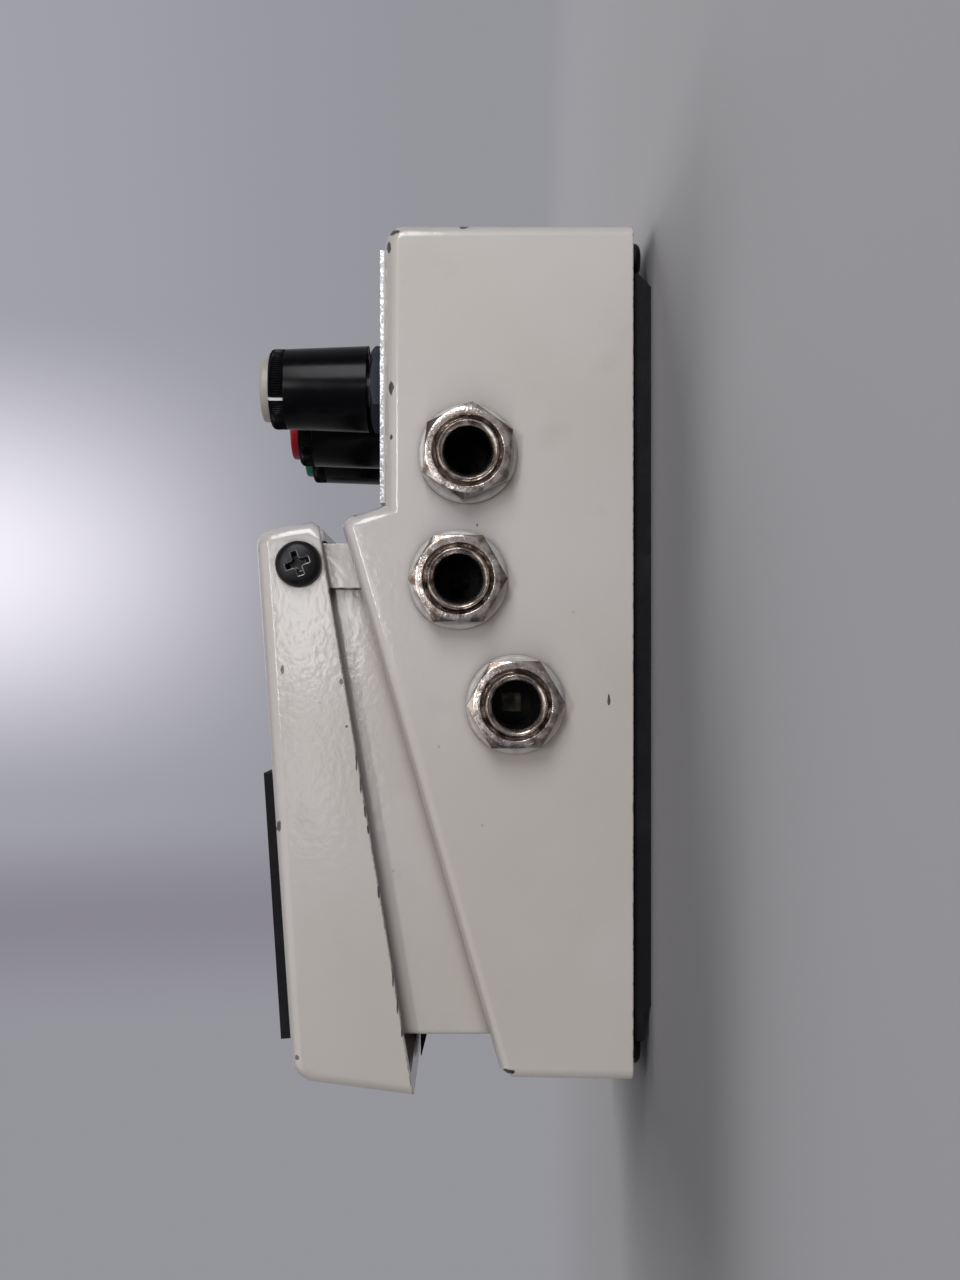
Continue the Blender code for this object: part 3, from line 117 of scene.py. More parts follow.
class Finish:
    """A procedural material: most methods add one node and give its output."""

    def __init__(self, name, colour, roughness, metallic=0.0):
        self.material = bpy.data.materials.new(name)
        self.material.use_nodes = True
        self.tree = self.material.node_tree
        self.shader = self.tree.nodes["Principled BSDF"]
        self.set("Base Color", (*colour, 1.0))
        self.set("Roughness", roughness)
        self.set("Metallic", metallic)
        self.place = self.node("TexCoord").outputs["Object"]

    def set(self, socket, value):
        """A constant, or the output of a node, on one of the shader's own sockets."""
        self.feed(self.shader.inputs[socket], value)

    def feed(self, socket, value):
        """A constant, or the output of a node, on any socket."""
        if isinstance(value, bpy.types.NodeSocket):
            self.tree.links.new(value, socket)
        else:
            socket.default_value = value

    def node(self, kind, settings=None, inputs=None):
        """A new shader node with these settings, fed with these inputs."""
        made = self.tree.nodes.new("ShaderNode" + kind)
        for name, value in (settings or {}).items():
            setattr(made, name, value)
        for key, value in (inputs or {}).items():
            self.feed(made.inputs[key], value)
        return made

    def vector(self, operation, first, second=NO_VECTOR):
        """A vector worked out from two others."""
        inputs = {0: first, 1: second}
        return self.node("VectorMath", {"operation": operation}, inputs).outputs["Vector"]

    def measure(self, operation, first, second=NO_VECTOR):
        """A number worked out from two vectors, such as their dot product."""
        inputs = {0: first, 1: second}
        return self.node("VectorMath", {"operation": operation}, inputs).outputs["Value"]

    def parts(self, vector):
        """A vector's X, Y and Z, by name."""
        return self.node("SeparateXYZ", None, {0: vector}).outputs

    def stretched(self, factors):
        """The place on the piece, with each axis scaled by its own factor."""
        return self.vector("MULTIPLY", self.place, factors)

    def noise(self, size, detail=2.0, place=None):
        """Soft noise from 0 to 1 whose patches are about size across."""
        inputs = {"Vector": place or self.place, "Scale": 1 / size, "Detail": detail}
        return self.node("TexNoise", None, inputs).outputs["Fac"]

    def cells(self, size, place=None):
        """Distance from the middle of cells that are about size across."""
        inputs = {"Vector": place or self.place, "Scale": 1 / size}
        return self.node("TexVoronoi", None, inputs).outputs["Distance"]

    def math(self, operation, first, second=0.0, third=0.0):
        """A number worked out from two others, or from three with MULTIPLY_ADD."""
        inputs = {0: first, 1: second, 2: third}
        return self.node("Math", {"operation": operation}, inputs).outputs["Value"]

    def step(self, value, low, high):
        """0 below low, 1 above high and smooth between; low above high turns it round."""
        inputs = {"Value": value, "From Min": low, "From Max": high}
        settings = {"interpolation_type": "SMOOTHSTEP"}
        return self.node("MapRange", settings, inputs).outputs["Result"]

    def between(self, factor, low, high):
        """A number from low to high as factor goes from 0 to 1."""
        inputs = {"Value": factor, "To Min": low, "To Max": high}
        return self.node("MapRange", None, inputs).outputs["Result"]

    def mix(self, factor, first, second):
        """A colour between two others."""
        inputs = {"Factor": factor}
        for socket, colour in ((MIX_FIRST, first), (MIX_SECOND, second)):
            inputs[socket] = (*colour, 1.0) if isinstance(colour, tuple) else colour
        return self.node("Mix", {"data_type": "RGBA"}, inputs).outputs[MIX_RESULT]

    def bump(self, height, distance, normal=None):
        """The normal of a surface whose relief is distance deep where height goes from 0 to 1."""
        inputs = {"Height": height, "Distance": distance}
        if normal:
            inputs["Normal"] = normal
        return self.node("Bump", None, inputs).outputs["Normal"]

    def seen(self):
        """1 for the rays that show a thing: from the camera, a reflection or through glass."""
        path = self.node("LightPath").outputs
        through = self.math("MAXIMUM", path["Is Camera Ray"], path["Is Transmission Ray"])
        return self.math("MAXIMUM", through, path["Is Glossy Ray"])

    def open_air(self, reach):
        """How open the surface is to the air within reach: 1 on a plain face, less in a corner."""
        return self.node("AmbientOcclusion", {"samples": 4}, {"Distance": reach}).outputs["AO"]

    def soft_edge(self, radius):
        """The normal of the surface as if its edges were rounded."""
        return self.node("Bevel", {"samples": 6}, {"Radius": radius}).outputs["Normal"]

    def edge(self, rounded):
        """How far a rounded normal leans from the surface's own: above 0 along the edges."""
        own = self.node("NewGeometry").outputs["Normal"]
        return self.math("SUBTRACT", 1.0, self.measure("DOT_PRODUCT", own, rounded))

    def spot(self, centre, half, ragged):
        """1 inside an oval patch of these half sizes, 0 outside, its rim moved by ragged."""
        away = self.vector("SUBTRACT", self.place, centre)
        shares = self.vector("MULTIPLY", away, tuple(1 / size for size in half))
        reach = self.math("ADD", self.measure("LENGTH", shares), ragged)
        return self.step(reach, 1.15, 0.85)


# Chips in the paint: y, z, half length along y and half width along z, in millimetres.
CASE_CHIPS = (
    (63.4, 38.3, 0.5, 1.0),
    (61.2, 38.9, 0.9, 0.3),
    (40.4, 38.5, 1.0, 0.35),
    (33.0, 38.5, 0.45, 0.2),
    (64.3, 27.6, 0.5, 0.8),
    (21.9, 43.9, 0.5, 0.5),
    (-60.6, 21.2, 0.35, 0.8),
    (-5.8, 6.4, 0.85, 0.2),
    (20.0, 25.8, 0.25, 0.12),
)
TREADLE_CHIPS = (
    (-58.6, 52.5, 0.35, 0.35),
    (-60.9, 52.9, 0.8, 0.3),
    (-24.3, 55.1, 0.8, 0.35),
    (-25.0, 55.7, 0.4, 0.3),
    (-1.3, 54.5, 0.8, 0.25),
    (-3.1, 45.8, 0.4, 0.25),
    (-9.7, 45.0, 0.2, 0.22),
)

# Those along the treadle's lower edge, which rises towards the rear: y, half length, half width.
LOWER_EDGE_CHIPS = (
    (-14.2, 2.0, 0.15),
    (-18.0, 1.6, 0.17),
    (-22.0, 1.2, 0.2),
    (-24.8, 0.7, 0.2),
    (-34.0, 1.0, 0.2),
    (-46.5, 1.6, 0.14),
    (-50.5, 1.6, 0.14),
    (-54.5, 1.0, 0.17),
)
LOWER_EDGE_HEIGHT = 45.965  # the edge carried on to y = 0
LOWER_EDGE_RISE = 1 / 6
CHIP_REACH = 2.5  # how far a chip goes in from the pedal's side


def on_lower_edge(y, half_y, half_z):
    """A lower-edge chip with the height of the edge put in."""
    return (y, LOWER_EDGE_HEIGHT + LOWER_EDGE_RISE * y, half_y, half_z)


ALL_TREADLE_CHIPS = TREADLE_CHIPS + tuple(on_lower_edge(*chip) for chip in LOWER_EDGE_CHIPS)


def shaded(colour, share):
    """A colour with each part multiplied by share."""
    return tuple(share * part for part in colour)


def paint(name, chips):
    """Aged gloss paint over cast metal: yellowing, grime, painted shade in its corners, orange
    peel, and chips to the metal.
    """
    finish = Finish(name, CREAM, 0.4)
    finish.set("Coat Weight", 0.8)
    finish.set("Coat Roughness", 0.1)

    # Yellowed patches, grime, small specks, and painted shade in the corners and gaps
    blotch = finish.step(finish.noise(45 * MM, 3.0), 0.35, 0.75)
    colour = finish.mix(blotch, CREAM, CREAM_AGED)
    grime = finish.step(finish.noise(9 * MM, 6.0), 0.55, 0.85)
    colour = finish.mix(finish.math("MULTIPLY", grime, 0.22), colour, CREAM_SHADE)
    specks = finish.step(finish.cells(7 * MM), 0.045, 0.02)
    colour = finish.mix(finish.math("MULTIPLY", specks, 0.6), colour, CREAM_SHADE)
    # Painted shade: darker and browner where other parts close in the surface, as under the
    # treadle's edge
    painted_shade = finish.step(finish.open_air(3.8 * MM), 0.80, 0.42)
    colour = finish.mix(finish.math("MULTIPLY", painted_shade, 0.95), colour, CREVICE_PAINTED_SHADE)

    # Bare metal, along worn edges and in the chips
    rounded = finish.soft_edge(0.35 * MM)
    fine = finish.noise(1.1 * MM, 4.0)
    ragged = finish.math("MULTIPLY_ADD", fine, 1.6, -0.8)
    edge = finish.math("MULTIPLY", finish.edge(rounded), finish.step(fine, 0.5, 0.62))
    bare = finish.step(edge, 0.03, 0.09)
    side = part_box("enclosure")[1].x
    for y, z, half_y, half_z in chips:
        centre = (side, y * MM, z * MM)
        half = (CHIP_REACH * MM, half_y * MM, half_z * MM)
        bare = finish.math("MAXIMUM", bare, finish.spot(centre, half, ragged))
    finish.set("Base Color", finish.mix(bare, colour, BARE_METAL))
    finish.set("Metallic", finish.math("MULTIPLY", bare, 0.8))
    finish.set("Roughness", finish.between(finish.noise(3 * MM, 3.0), 0.34, 0.46))

    # Orange peel at two sizes, with the bare places sunk below it
    coarse = finish.noise(1.3 * MM, 1.0)
    peel = finish.math("MULTIPLY_ADD", finish.noise(0.55 * MM, 2.0), 0.4, coarse)
    peel = finish.math("MULTIPLY_ADD", bare, -1.2, peel)
    leaning = finish.bump(peel, 0.02 * MM, rounded)
    finish.set("Normal", leaning)
    finish.set("Coat Normal", leaning)
    return finish.material


def worn_metal(name, colour, dark, roughness, pits=0.5, metallic=1.0):
    """Plated metal gone dull: brownish clouding, pits, and fine wear on its edges."""
    finish = Finish(name, colour, roughness, metallic)
    cloud = finish.step(finish.noise(1.5 * MM, 5.0), 0.35, 0.7)
    shade = finish.mix(cloud, colour, dark)
    pitted = finish.math("MULTIPLY", finish.step(finish.cells(0.42 * MM), 0.24, 0.1), pits)
    pitted = finish.math("MULTIPLY", pitted, finish.step(finish.noise(2.2 * MM, 2.0), 0.42, 0.6))
    finish.set("Base Color", finish.mix(pitted, shade, shaded(dark, 0.25)))
    finish.set("Roughness", finish.between(cloud, roughness * 0.7, roughness * 1.35))
    height = finish.math("SUBTRACT", finish.noise(0.5 * MM, 4.0), pitted)
    finish.set("Normal", finish.bump(height, 0.03 * MM, finish.soft_edge(0.12 * MM)))
    return finish.material


DRAWN_GRAIN = (60.0, 2500.0, 60.0)  # how many patches of noise to the metre, along each axis


def brushed(name, colour, roughness):
    """Bare metal with a drawn grain."""
    finish = Finish(name, colour, roughness, 1.0)
    lines = finish.noise(1.0, 3.0, finish.stretched(DRAWN_GRAIN))
    finish.set("Base Color", finish.mix(lines, shaded(colour, 0.8), colour))
    finish.set("Roughness", finish.between(lines, roughness * 0.8, roughness * 1.3))
    finish.set("Normal", finish.bump(lines, 0.008 * MM, finish.soft_edge(0.1 * MM)))
    return finish.material


def black_metal(name, wear=1.0):
    """Blackened steel, rubbed bright along its edges, more so with more wear."""
    finish = Finish(name, BLACK_STEEL, 0.36, 0.6)
    rounded = finish.soft_edge(0.14 * wear * MM)
    patches = finish.step(finish.noise(0.6 * MM, 4.0), 0.62 - 0.3 * wear, 0.7 - 0.15 * wear)
    rubbed = finish.math("MULTIPLY", finish.edge(rounded), patches)
    bare = finish.step(rubbed, 0.04 / wear, 0.16 / wear)
    finish.set("Base Color", finish.mix(bare, BLACK_STEEL, (0.40, 0.38, 0.37)))
    finish.set("Metallic", finish.between(bare, 0.6, 1.0))
    finish.set("Roughness", finish.between(finish.noise(0.8 * MM, 5.0), 0.26, 0.5))
    finish.set("Normal", finish.bump(finish.noise(0.3 * MM, 4.0), 0.02 * MM, rounded))
    return finish.material


def plastic(name, colour, roughness, shine=0.5, dusty=None, wave=0.8 * MM, relief=0.006 * MM):
    """Moulded plastic, dusty in places, its gloss uneven and its surface a little wavy."""
    finish = Finish(name, colour, roughness)
    finish.set("Specular IOR Level", shine)
    dust = finish.math("MULTIPLY", finish.step(finish.noise(4 * MM, 6.0), 0.5, 0.8), 0.5)
    dusty = dusty or tuple(0.92 * part + 0.003 for part in colour)
    finish.set("Base Color", finish.mix(dust, colour, dusty))
    cloud = finish.noise(2 * MM, 5.0)
    finish.set("Roughness", finish.between(cloud, roughness * 0.75, roughness * 1.4))
    rounded = finish.soft_edge(0.08 * MM)
    finish.set("Normal", finish.bump(finish.noise(wave, 3.0), relief, rounded))
    return finish.material


def rubber(name):
    """Black rubber, grained and dusty."""
    finish = Finish(name, (0.013, 0.013, 0.015), 0.7)
    finish.set("Specular IOR Level", 0.15)
    dust = finish.math("MULTIPLY", finish.step(finish.noise(6 * MM, 8.0), 0.48, 0.75), 0.45)
    finish.set("Base Color", finish.mix(dust, (0.005, 0.005, 0.0065), (0.016, 0.0155, 0.017)))
    finish.set("Roughness", finish.between(finish.noise(1.2 * MM, 4.0), 0.5, 0.8))
    rounded = finish.soft_edge(0.2 * MM)
    finish.set("Normal", finish.bump(finish.cells(0.35 * MM), 0.03 * MM, rounded))
    return finish.material


def board(name):
    """A circuit board's green mask, with copper tracks as slightly lighter runs."""
    finish = Finish(name, (0.012, 0.075, 0.03), 0.38)
    tracks = finish.step(finish.cells(2.2 * MM, finish.stretched((1.0, 0.35, 1.0))), 0.38, 0.42)
    finish.set("Base Color", finish.mix(tracks, (0.01, 0.06, 0.025), (0.02, 0.13, 0.05)))
    finish.set("Roughness", finish.between(finish.noise(2 * MM, 3.0), 0.3, 0.5))
    finish.set("Normal", finish.bump(tracks, 0.03 * MM, finish.soft_edge(0.1 * MM)))
    return finish.material


def battery_sleeve(name):
    """A battery's plain sleeve: dark, with a copper-coloured band at its contact end."""
    finish = Finish(name, BLACK_SLEEVE, 0.3, 0.3)
    _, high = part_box("battery")
    band_from = high.x - 12.3 * MM
    band = finish.step(finish.parts(finish.place)["X"], band_from, band_from + 0.3 * MM)
    finish.set("Base Color", finish.mix(band, BLACK_SLEEVE, (0.5, 0.23, 0.1)))
    finish.set("Roughness", finish.between(finish.noise(3 * MM, 4.0), 0.25, 0.42))
    rounded = finish.soft_edge(0.4 * MM)
    finish.set("Normal", finish.bump(finish.noise(5 * MM, 2.0), 0.05 * MM, rounded))
    return finish.material


def panel(name):
    """The control plate: satin black print on top, speckled bare metal at its cut edges,
    and the case's paint over the lowest part of them."""
    finish = Finish(name, BLACK_PRINT, 0.4)
    upward = finish.parts(finish.node("TexCoord").outputs["Normal"])["Z"]
    printed = finish.step(upward, 0.6, 0.9)
    speckle = finish.step(finish.noise(0.35 * MM, 5.0), 0.42, 0.6)
    metal = finish.mix(speckle, (0.3, 0.3, 0.31), (0.78, 0.78, 0.8))
    low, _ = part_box("control_plate")
    height = finish.parts(finish.place)["Z"]
    painted = finish.step(height, low.z + 0.32 * MM, low.z + 0.22 * MM)
    metal = finish.mix(painted, metal, CREAM_AGED)
    finish.set("Base Color", finish.mix(printed, metal, BLACK_PRINT))
    covered = finish.math("MAXIMUM", printed, painted)
    finish.set("Metallic", finish.between(covered, 0.85, 0.0))
    finish.set("Roughness", finish.between(finish.noise(1.5 * MM, 4.0), 0.3, 0.5))
    finish.set("Normal", finish.bump(speckle, 0.01 * MM, finish.soft_edge(0.1 * MM)))
    return finish.material


def lamp_plastic(name):
    """The indicator's clear red lens."""
    finish = Finish(name, (0.13, 0.004, 0.004), 0.12)
    finish.set("Transmission Weight", 0.45)
    finish.set("Normal", finish.bump(finish.noise(1.5 * MM, 2.0), 0.01 * MM))
    return finish.material


# Each is named for a material slot of the record, or for a piece that has its own variant.
MATERIALS = {
    "cream_paint": paint("cream_paint_case", CASE_CHIPS),
    "treadle_paint": paint("cream_paint_treadle", ALL_TREADLE_CHIPS),
    "nickel": worn_metal("nickel_worn", (0.66, 0.59, 0.54), (0.15, 0.115, 0.095), 0.22, pits=0.85),
    "washer": worn_metal(
        "nickel_dull", (0.52, 0.50, 0.485), (0.44, 0.415, 0.40), 0.5, pits=0.12, metallic=0.25
    ),
    "contact": worn_metal(
        "contact_brass", (0.55, 0.48, 0.38), (0.35, 0.29, 0.21), 0.6, pits=0.2, metallic=0.3
    ),
    # near-black metal for the contacts of all but the jack nearest the front
    "dark_contact": worn_metal(
        "contact_near_black", (0.03, 0.027, 0.022), (0.02, 0.018, 0.014), 0.6
    ),
    "bright_steel": brushed("steel_bright", (0.56, 0.56, 0.57), 0.3),
    "black_steel": black_metal("steel_black"),
    "worn_black_steel": black_metal("steel_black_worn", 2.0),
    "blackened_nut": plastic("nut_blackened", (0.017, 0.022, 0.034), 0.45, shine=0.2),
    "black_plastic": plastic(
        "plastic_black", (0.0025, 0.0025, 0.0035), 0.2, shine=0.09, wave=3.0 * MM, relief=0.004 * MM
    ),
    "black_rubber": rubber("rubber_black"),
    "white_plastic": plastic("nylon_white", (0.62, 0.61, 0.57), 0.45),
    "green_board": board("circuit_board"),
    "cap_cream": plastic("cap_plastic_cream", (0.325, 0.303, 0.277), 0.35, shine=0.3),
    "cap_red": plastic(
        "cap_plastic_red", (0.26, 0.003, 0.007), 0.3, shine=0.3, dusty=(0.22, 0.006, 0.01)
    ),
    "cap_green": plastic(
        "cap_plastic_green", (0.004, 0.12, 0.065), 0.3, shine=0.3, dusty=(0.008, 0.10, 0.06)
    ),
    "led_red": lamp_plastic("lens_red"),
    "aluminium": panel("panel_black"),
    "battery_wrap": battery_sleeve("battery_sleeve"),
    "ink": plastic("ink_white", (0.62, 0.62, 0.6), 0.5),
}


# ---- Building pieces ----


def new_object(name, data):
    """An object of the scene made from its data."""
    made = bpy.data.objects.new(name, data)
    bpy.context.scene.collection.objects.link(made)
    return made


def smooth(mesh, angle):
    """Shades a mesh smooth, but for the edges where it turns by more than angle in degrees."""
    mesh.shade_smooth()
    mesh.set_sharp_from_angle(angle=math.radians(angle))


def finished(name, mesh, node, material, angle=30.0, replaces=True):
    """A piece made from a mesh that lies in its place: shaded, and riding on its node's body."""
    piece = new_object(name, mesh)
    mesh.materials.clear()
    mesh.materials.append(MATERIALS[material])
    carried_normals = mesh.attributes.get("custom_normal")
    if carried_normals:
        mesh.attributes.remove(carried_normals)
    smooth(mesh, angle)
    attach(piece, BODY_OF[node])
    if replaces:
        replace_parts(piece, node)
    return piece


def from_bmesh(name, bm):
    """A mesh made from a bmesh, which is freed."""
    mesh = bpy.data.meshes.new(name)
    bm.to_mesh(mesh)
    bm.free()
    return mesh


def whole_faces(node):
    """A CAD node's shape as a bmesh, with its triangles made whole flat faces again."""
    bm = bmesh.new()
    bm.from_mesh(NODES[node].data)
    bmesh.ops.remove_doubles(bm, verts=bm.verts, dist=0.001 * MM)
    flat = math.radians(0.5)
    bmesh.ops.dissolve_limit(bm, angle_limit=flat, verts=bm.verts, edges=bm.edges)
    return bm


def refined(node, material, weighted=True):
    """A skin of a CAD node's own shape: its curves shaded smooth, its flat faces kept even."""
    name = node + "_skin"
    piece = finished(name, from_bmesh(name, whole_faces(node)), node, material, angle=40.0)
    if weighted:
        normals = piece.modifiers.new("flat_faces", "WEIGHTED_NORMAL")
        normals.keep_sharp = True
        normals.weight = 100
    return piece


def facing(place, direction, turn=0.0):
    """The matrix that takes a piece from upright at the origin to its place, turned on its axis."""
    swing = direction.to_track_quat("Z", "Y").to_matrix().to_4x4()
    return Matrix.Translation(place) @ swing @ Matrix.Rotation(turn, 4, "Z")


def lathe(name, outline, sides, matrix):
    """A mesh turned about +Z, then moved by matrix. Its outline is (radius, height) points, bottom
    to top on the outside, or a function that gives them for an angle. An outline that starts and
    ends on the axis closes there, and any other makes a ring."""
    outline_at = outline if callable(outline) else lambda angle: outline
    bm = bmesh.new()
    rows = []
    for step in range(sides):
        angle = FULL_TURN * step / sides
        row = []
        for radius, height in outline_at(angle):
            point = Vector((radius * math.cos(angle), radius * math.sin(angle), height))
            row.append(bm.verts.new(matrix @ point))
        rows.append(row)
    count = len(rows[0])
    is_ring = outline_at(0.0)[0][0] > 0
    spans = count if is_ring else count - 1
    for step in range(sides):
        here, there = rows[step], rows[(step + 1) % sides]
        for index in range(spans):
            after = (index + 1) % count
            bm.faces.new((here[index], there[index], there[after], here[after]))
    bmesh.ops.remove_doubles(bm, verts=bm.verts, dist=0.0005 * MM)
    bmesh.ops.recalc_face_normals(bm, faces=bm.faces)
    return from_bmesh(name, bm)


def eased(corners, steps=4):
    """An outline from corners of (radius, height, rounding), each rounded by its own amount."""
    outline = []
    count = len(corners)
    for index, (radius, height, rounding) in enumerate(corners):
        corner = Vector((radius, height))
        if not rounding:
            outline.append((radius, height))
            continue
        before = Vector(corners[index - 1][:2])
        after = Vector(corners[(index + 1) % count][:2])
        start = corner + (before - corner).normalized() * rounding
        end = corner + (after - corner).normalized() * rounding
        for step in range(steps + 1):
            share = step / steps
            point = start.lerp(corner, share).lerp(corner.lerp(end, share), share)
            outline.append((point.x, point.y))
    return outline


def span(node, direction):
    """The middle of a CAD node's near face along a direction, its length that way, and half its
    width across."""
    low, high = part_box(node)
    axis = max(range(3), key=lambda index: abs(direction[index]))
    across = (axis + 1) % 3
    place = (low + high) / 2
    place[axis] = low[axis] if direction[axis] > 0 else high[axis]
    return place, high[axis] - low[axis], (high[across] - low[across]) / 2


def cut(piece, cutters, angle):
    """Cuts shapes out of a piece for good, and shades it again as smooth does."""
    for cutter in cutters:
        modifier = piece.modifiers.new("cut", "BOOLEAN")
        modifier.operation = "DIFFERENCE"
        modifier.solver = "EXACT"
        modifier.object = cutter
    settle(piece)
    for cutter in cutters:
        bpy.data.objects.remove(cutter)
    smooth(piece.data, angle)
    return piece


def settle(piece):
    """Makes what a piece's modifiers do part of its mesh."""
    bpy.context.view_layer.update()
    graph = bpy.context.evaluated_depsgraph_get()
    mesh = bpy.data.meshes.new_from_object(piece.evaluated_get(graph))
    piece.modifiers.clear()
    old = piece.data
    piece.data = mesh
    bpy.data.meshes.remove(old)


def add_box(bm, size, matrix, taper=1.0):
    """A box with the middle of its lower end at the matrix's place, narrowed there by taper."""
    corners = bmesh.ops.create_cube(bm, size=1.0)["verts"]
    for vert in corners:
        narrow = taper if vert.co.z < 0 else 1.0
        x, y, z = vert.co
        vert.co = Vector((x * size[0] * narrow, y * size[1] * narrow, (z + 0.5) * size[2]))
    bmesh.ops.transform(bm, matrix=matrix, verts=corners)


def block(name, size, matrix, taper=1.0):
    """A box as an object of its own, for cutting."""
    bm = bmesh.new()
    add_box(bm, size, matrix, taper)
    return new_object(name, from_bmesh(name, bm))


PLATE_STANDS_OFF = 0.35 * MM  # the CAD deck's gap to the plate, and a little more
PLATE_TOUCHES = 0.01 * MM


def case_skin():
    """The case, its deck painted right up to the control plate that lies on it."""
    piece = refined("enclosure", "cream_paint")
    plate_low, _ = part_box("control_plate")
    deck_low = plate_low.z - PLATE_STANDS_OFF
    deck_front = plate_low.y - 4 * MM
    for vert in piece.data.vertices:
        if deck_low < vert.co.z < plate_low.z and vert.co.y > deck_front:
            vert.co.z = plate_low.z - PLATE_TOUCHES
    return piece


# ---- Round and threaded pieces ----

NUT_BORE = 4.72 * MM
POT_NUT_BORE = 3.4 * MM
NUT_FACE_SHARE = 0.985  # the flat end's radius, as a share of the nut's half width over its flats
NUT_TOP_SLOPE = 0.55  # of the cone that turns its corners off
NUT_FOOT_SLOPE = 0.25
WASHER_BORE = 4.95 * MM
THREAD_PITCH = 0.75 * MM
SOCKET_THREAD = 4.7 * MM
SOCKET_BORE = 3.45 * MM
BUSHING_REAR = 33.9 * MM  # where a jack's bushing starts and its housing ends, from the middle
SOCKET_FLOOR = 15.7 * MM  # the bottom of its bore
# where the black sleeve of painted shade inside the bushing's bore stops, short of its mouth
SHADE_SLEEVE_FROM_MOUTH = 1.5 * MM
CONTACT_SIDE = 3.1 * MM


def hexagon(angle, apothem):
    """How far a hexagon's side is from its middle at an angle, with a corner at angle 0."""
    sixth = FULL_TURN / 6
    return apothem / math.cos(angle % sixth - sixth / 2)


def far_corner(node, place, direction):
    """The farthest corner of a hexagonal CAD nut from its axis: its distance and its turn."""
    upright = facing(place, direction).inverted()
    corners = [(upright @ vert.co).to_2d() for vert in NODES[node].data.vertices]
    corner = max(corners, key=lambda point: point.length)
    return corner.length, math.atan2(corner.y, corner.x)


def nut(node, direction, bore, material):
    """A hexagon nut whose outer corners are turned off by a cone."""
    place, height, _ = span(node, direction)
    reach, turn = far_corner(node, place, direction)
    apothem = reach * math.cos(math.pi / 6)
    face = apothem * NUT_FACE_SHARE

    def outline(angle):
        side = hexagon(angle, apothem)
        drop = (side - face) * NUT_TOP_SLOPE
        low = (side - face) * NUT_FOOT_SLOPE
        return [
            (bore + 0.35 * MM, 0.0),
            (face, 0.0),
            (side - 0.02 * MM, low),
            (side, low + 0.05 * MM),
            (side, height - drop - 0.12 * MM),
            (side - 0.06 * MM, height - drop),
            (face, height - 0.03 * MM),
            (face - 0.12 * MM, height),
            (bore + 0.55 * MM, height),
            (bore, height - 0.55 * MM),
            (bore, 0.35 * MM),
        ]

    mesh = lathe(node + "_turned", outline, 96, facing(place, direction, turn))
    return finished(node + "_turned", mesh, node, material, angle=24.0)


def washer(node, direction):
    """A stamped washer: a rolled outer edge and a slightly dished face."""
    place, height, radius = span(node, direction)
    corners = [
        (WASHER_BORE, 0.0, 0.0),
        (radius - 0.1 * MM, 0.0, 0.1 * MM),
        (radius, height * 0.4, 0.12 * MM),
        (radius - 0.35 * MM, height, 0.15 * MM),
        (radius - 1.3 * MM, height * 0.86, 0.2 * MM),
        (WASHER_BORE, height * 0.86, 0.0),
    ]
    mesh = lathe(node + "_stamped", eased(corners), 96, facing(place, direction))
    return finished(node + "_stamped", mesh, node, "washer", angle=35.0)


def jack_bushing(side, number):
    """A jack's threaded nickel bushing, its bore flared at the mouth."""
    node = f"jack_socket_{side}_{number}"
    direction = OUTWARD[side]
    place, length, _ = span(node, direction)
    end = abs(place.x) + length
    place.x = direction.x * BUSHING_REAR
    height = end - BUSHING_REAR
    lip = 0.9 * MM
    crest = SOCKET_THREAD - 0.04 * MM
    root = SOCKET_THREAD - 0.32 * MM
    thread = []
    for turn in range(int((height - lip) / THREAD_PITCH)):
        start = turn * THREAD_PITCH
        thread.append((root, start + 0.05 * MM))
        thread.append((crest, start + 0.38 * THREAD_PITCH))
        thread.append((crest, start + 0.58 * THREAD_PITCH))
        thread.append((root, start + 0.95 * THREAD_PITCH))
    mouth = [
        (SOCKET_THREAD - 0.30 * MM, height - lip + 0.08 * MM),
        (SOCKET_THREAD - 0.12 * MM, height - lip + 0.25 * MM),
        (SOCKET_THREAD - 0.22 * MM, height - 0.35 * MM),
        (SOCKET_THREAD - 0.34 * MM, height - 0.1 * MM),
        (SOCKET_THREAD - 0.47 * MM, height),
        (SOCKET_THREAD - 0.62 * MM, height - 0.06 * MM),
        (SOCKET_THREAD - 0.82 * MM, height - 0.3 * MM),
        (SOCKET_BORE + 0.1 * MM, height - 0.62 * MM),
        (SOCKET_BORE, height - 0.8 * MM),
        (SOCKET_BORE, 0.0),
    ]
    name = f"jack_bushing_{side}_{number}"
    mesh = lathe(name, thread + mouth, 96, facing(place, direction))
    return finished(name, mesh, node, "nickel", angle=35.0)


def jack_housing(side, number):
    """A jack's square black housing with its round bore, carried up inside the nickel bushing as a
    thin black sleeve: painted shade in the bore.
    """
    node = f"jack_socket_{side}_{number}"
    direction = OUTWARD[side]
    place, length, half = span(node, direction)
    height = BUSHING_REAR - 0.1 * MM - abs(place.x)
    bottom = SOCKET_FLOOR - abs(place.x)
    # the sleeve of painted shade runs up the bushing's bore to here
    shade_sleeve_end = length - SHADE_SLEEVE_FROM_MOUTH
    thin = 0.04 * MM

    def outline(angle):
        reach = half / max(abs(math.cos(angle)), abs(math.sin(angle)))
        return [
            (0.0, 0.0),
            (reach, 0.0),
            (reach, height),
            (SOCKET_BORE - thin, height),
            (SOCKET_BORE - thin, shade_sleeve_end),
            (SOCKET_BORE - 2 * thin, shade_sleeve_end),
            (SOCKET_BORE - 2 * thin, bottom),
            (0.0, bottom),
        ]

    name = f"jack_housing_{side}_{number}"
    mesh = lathe(name, outline, 96, facing(place, direction))
    return finished(name, mesh, node, "black_plastic")


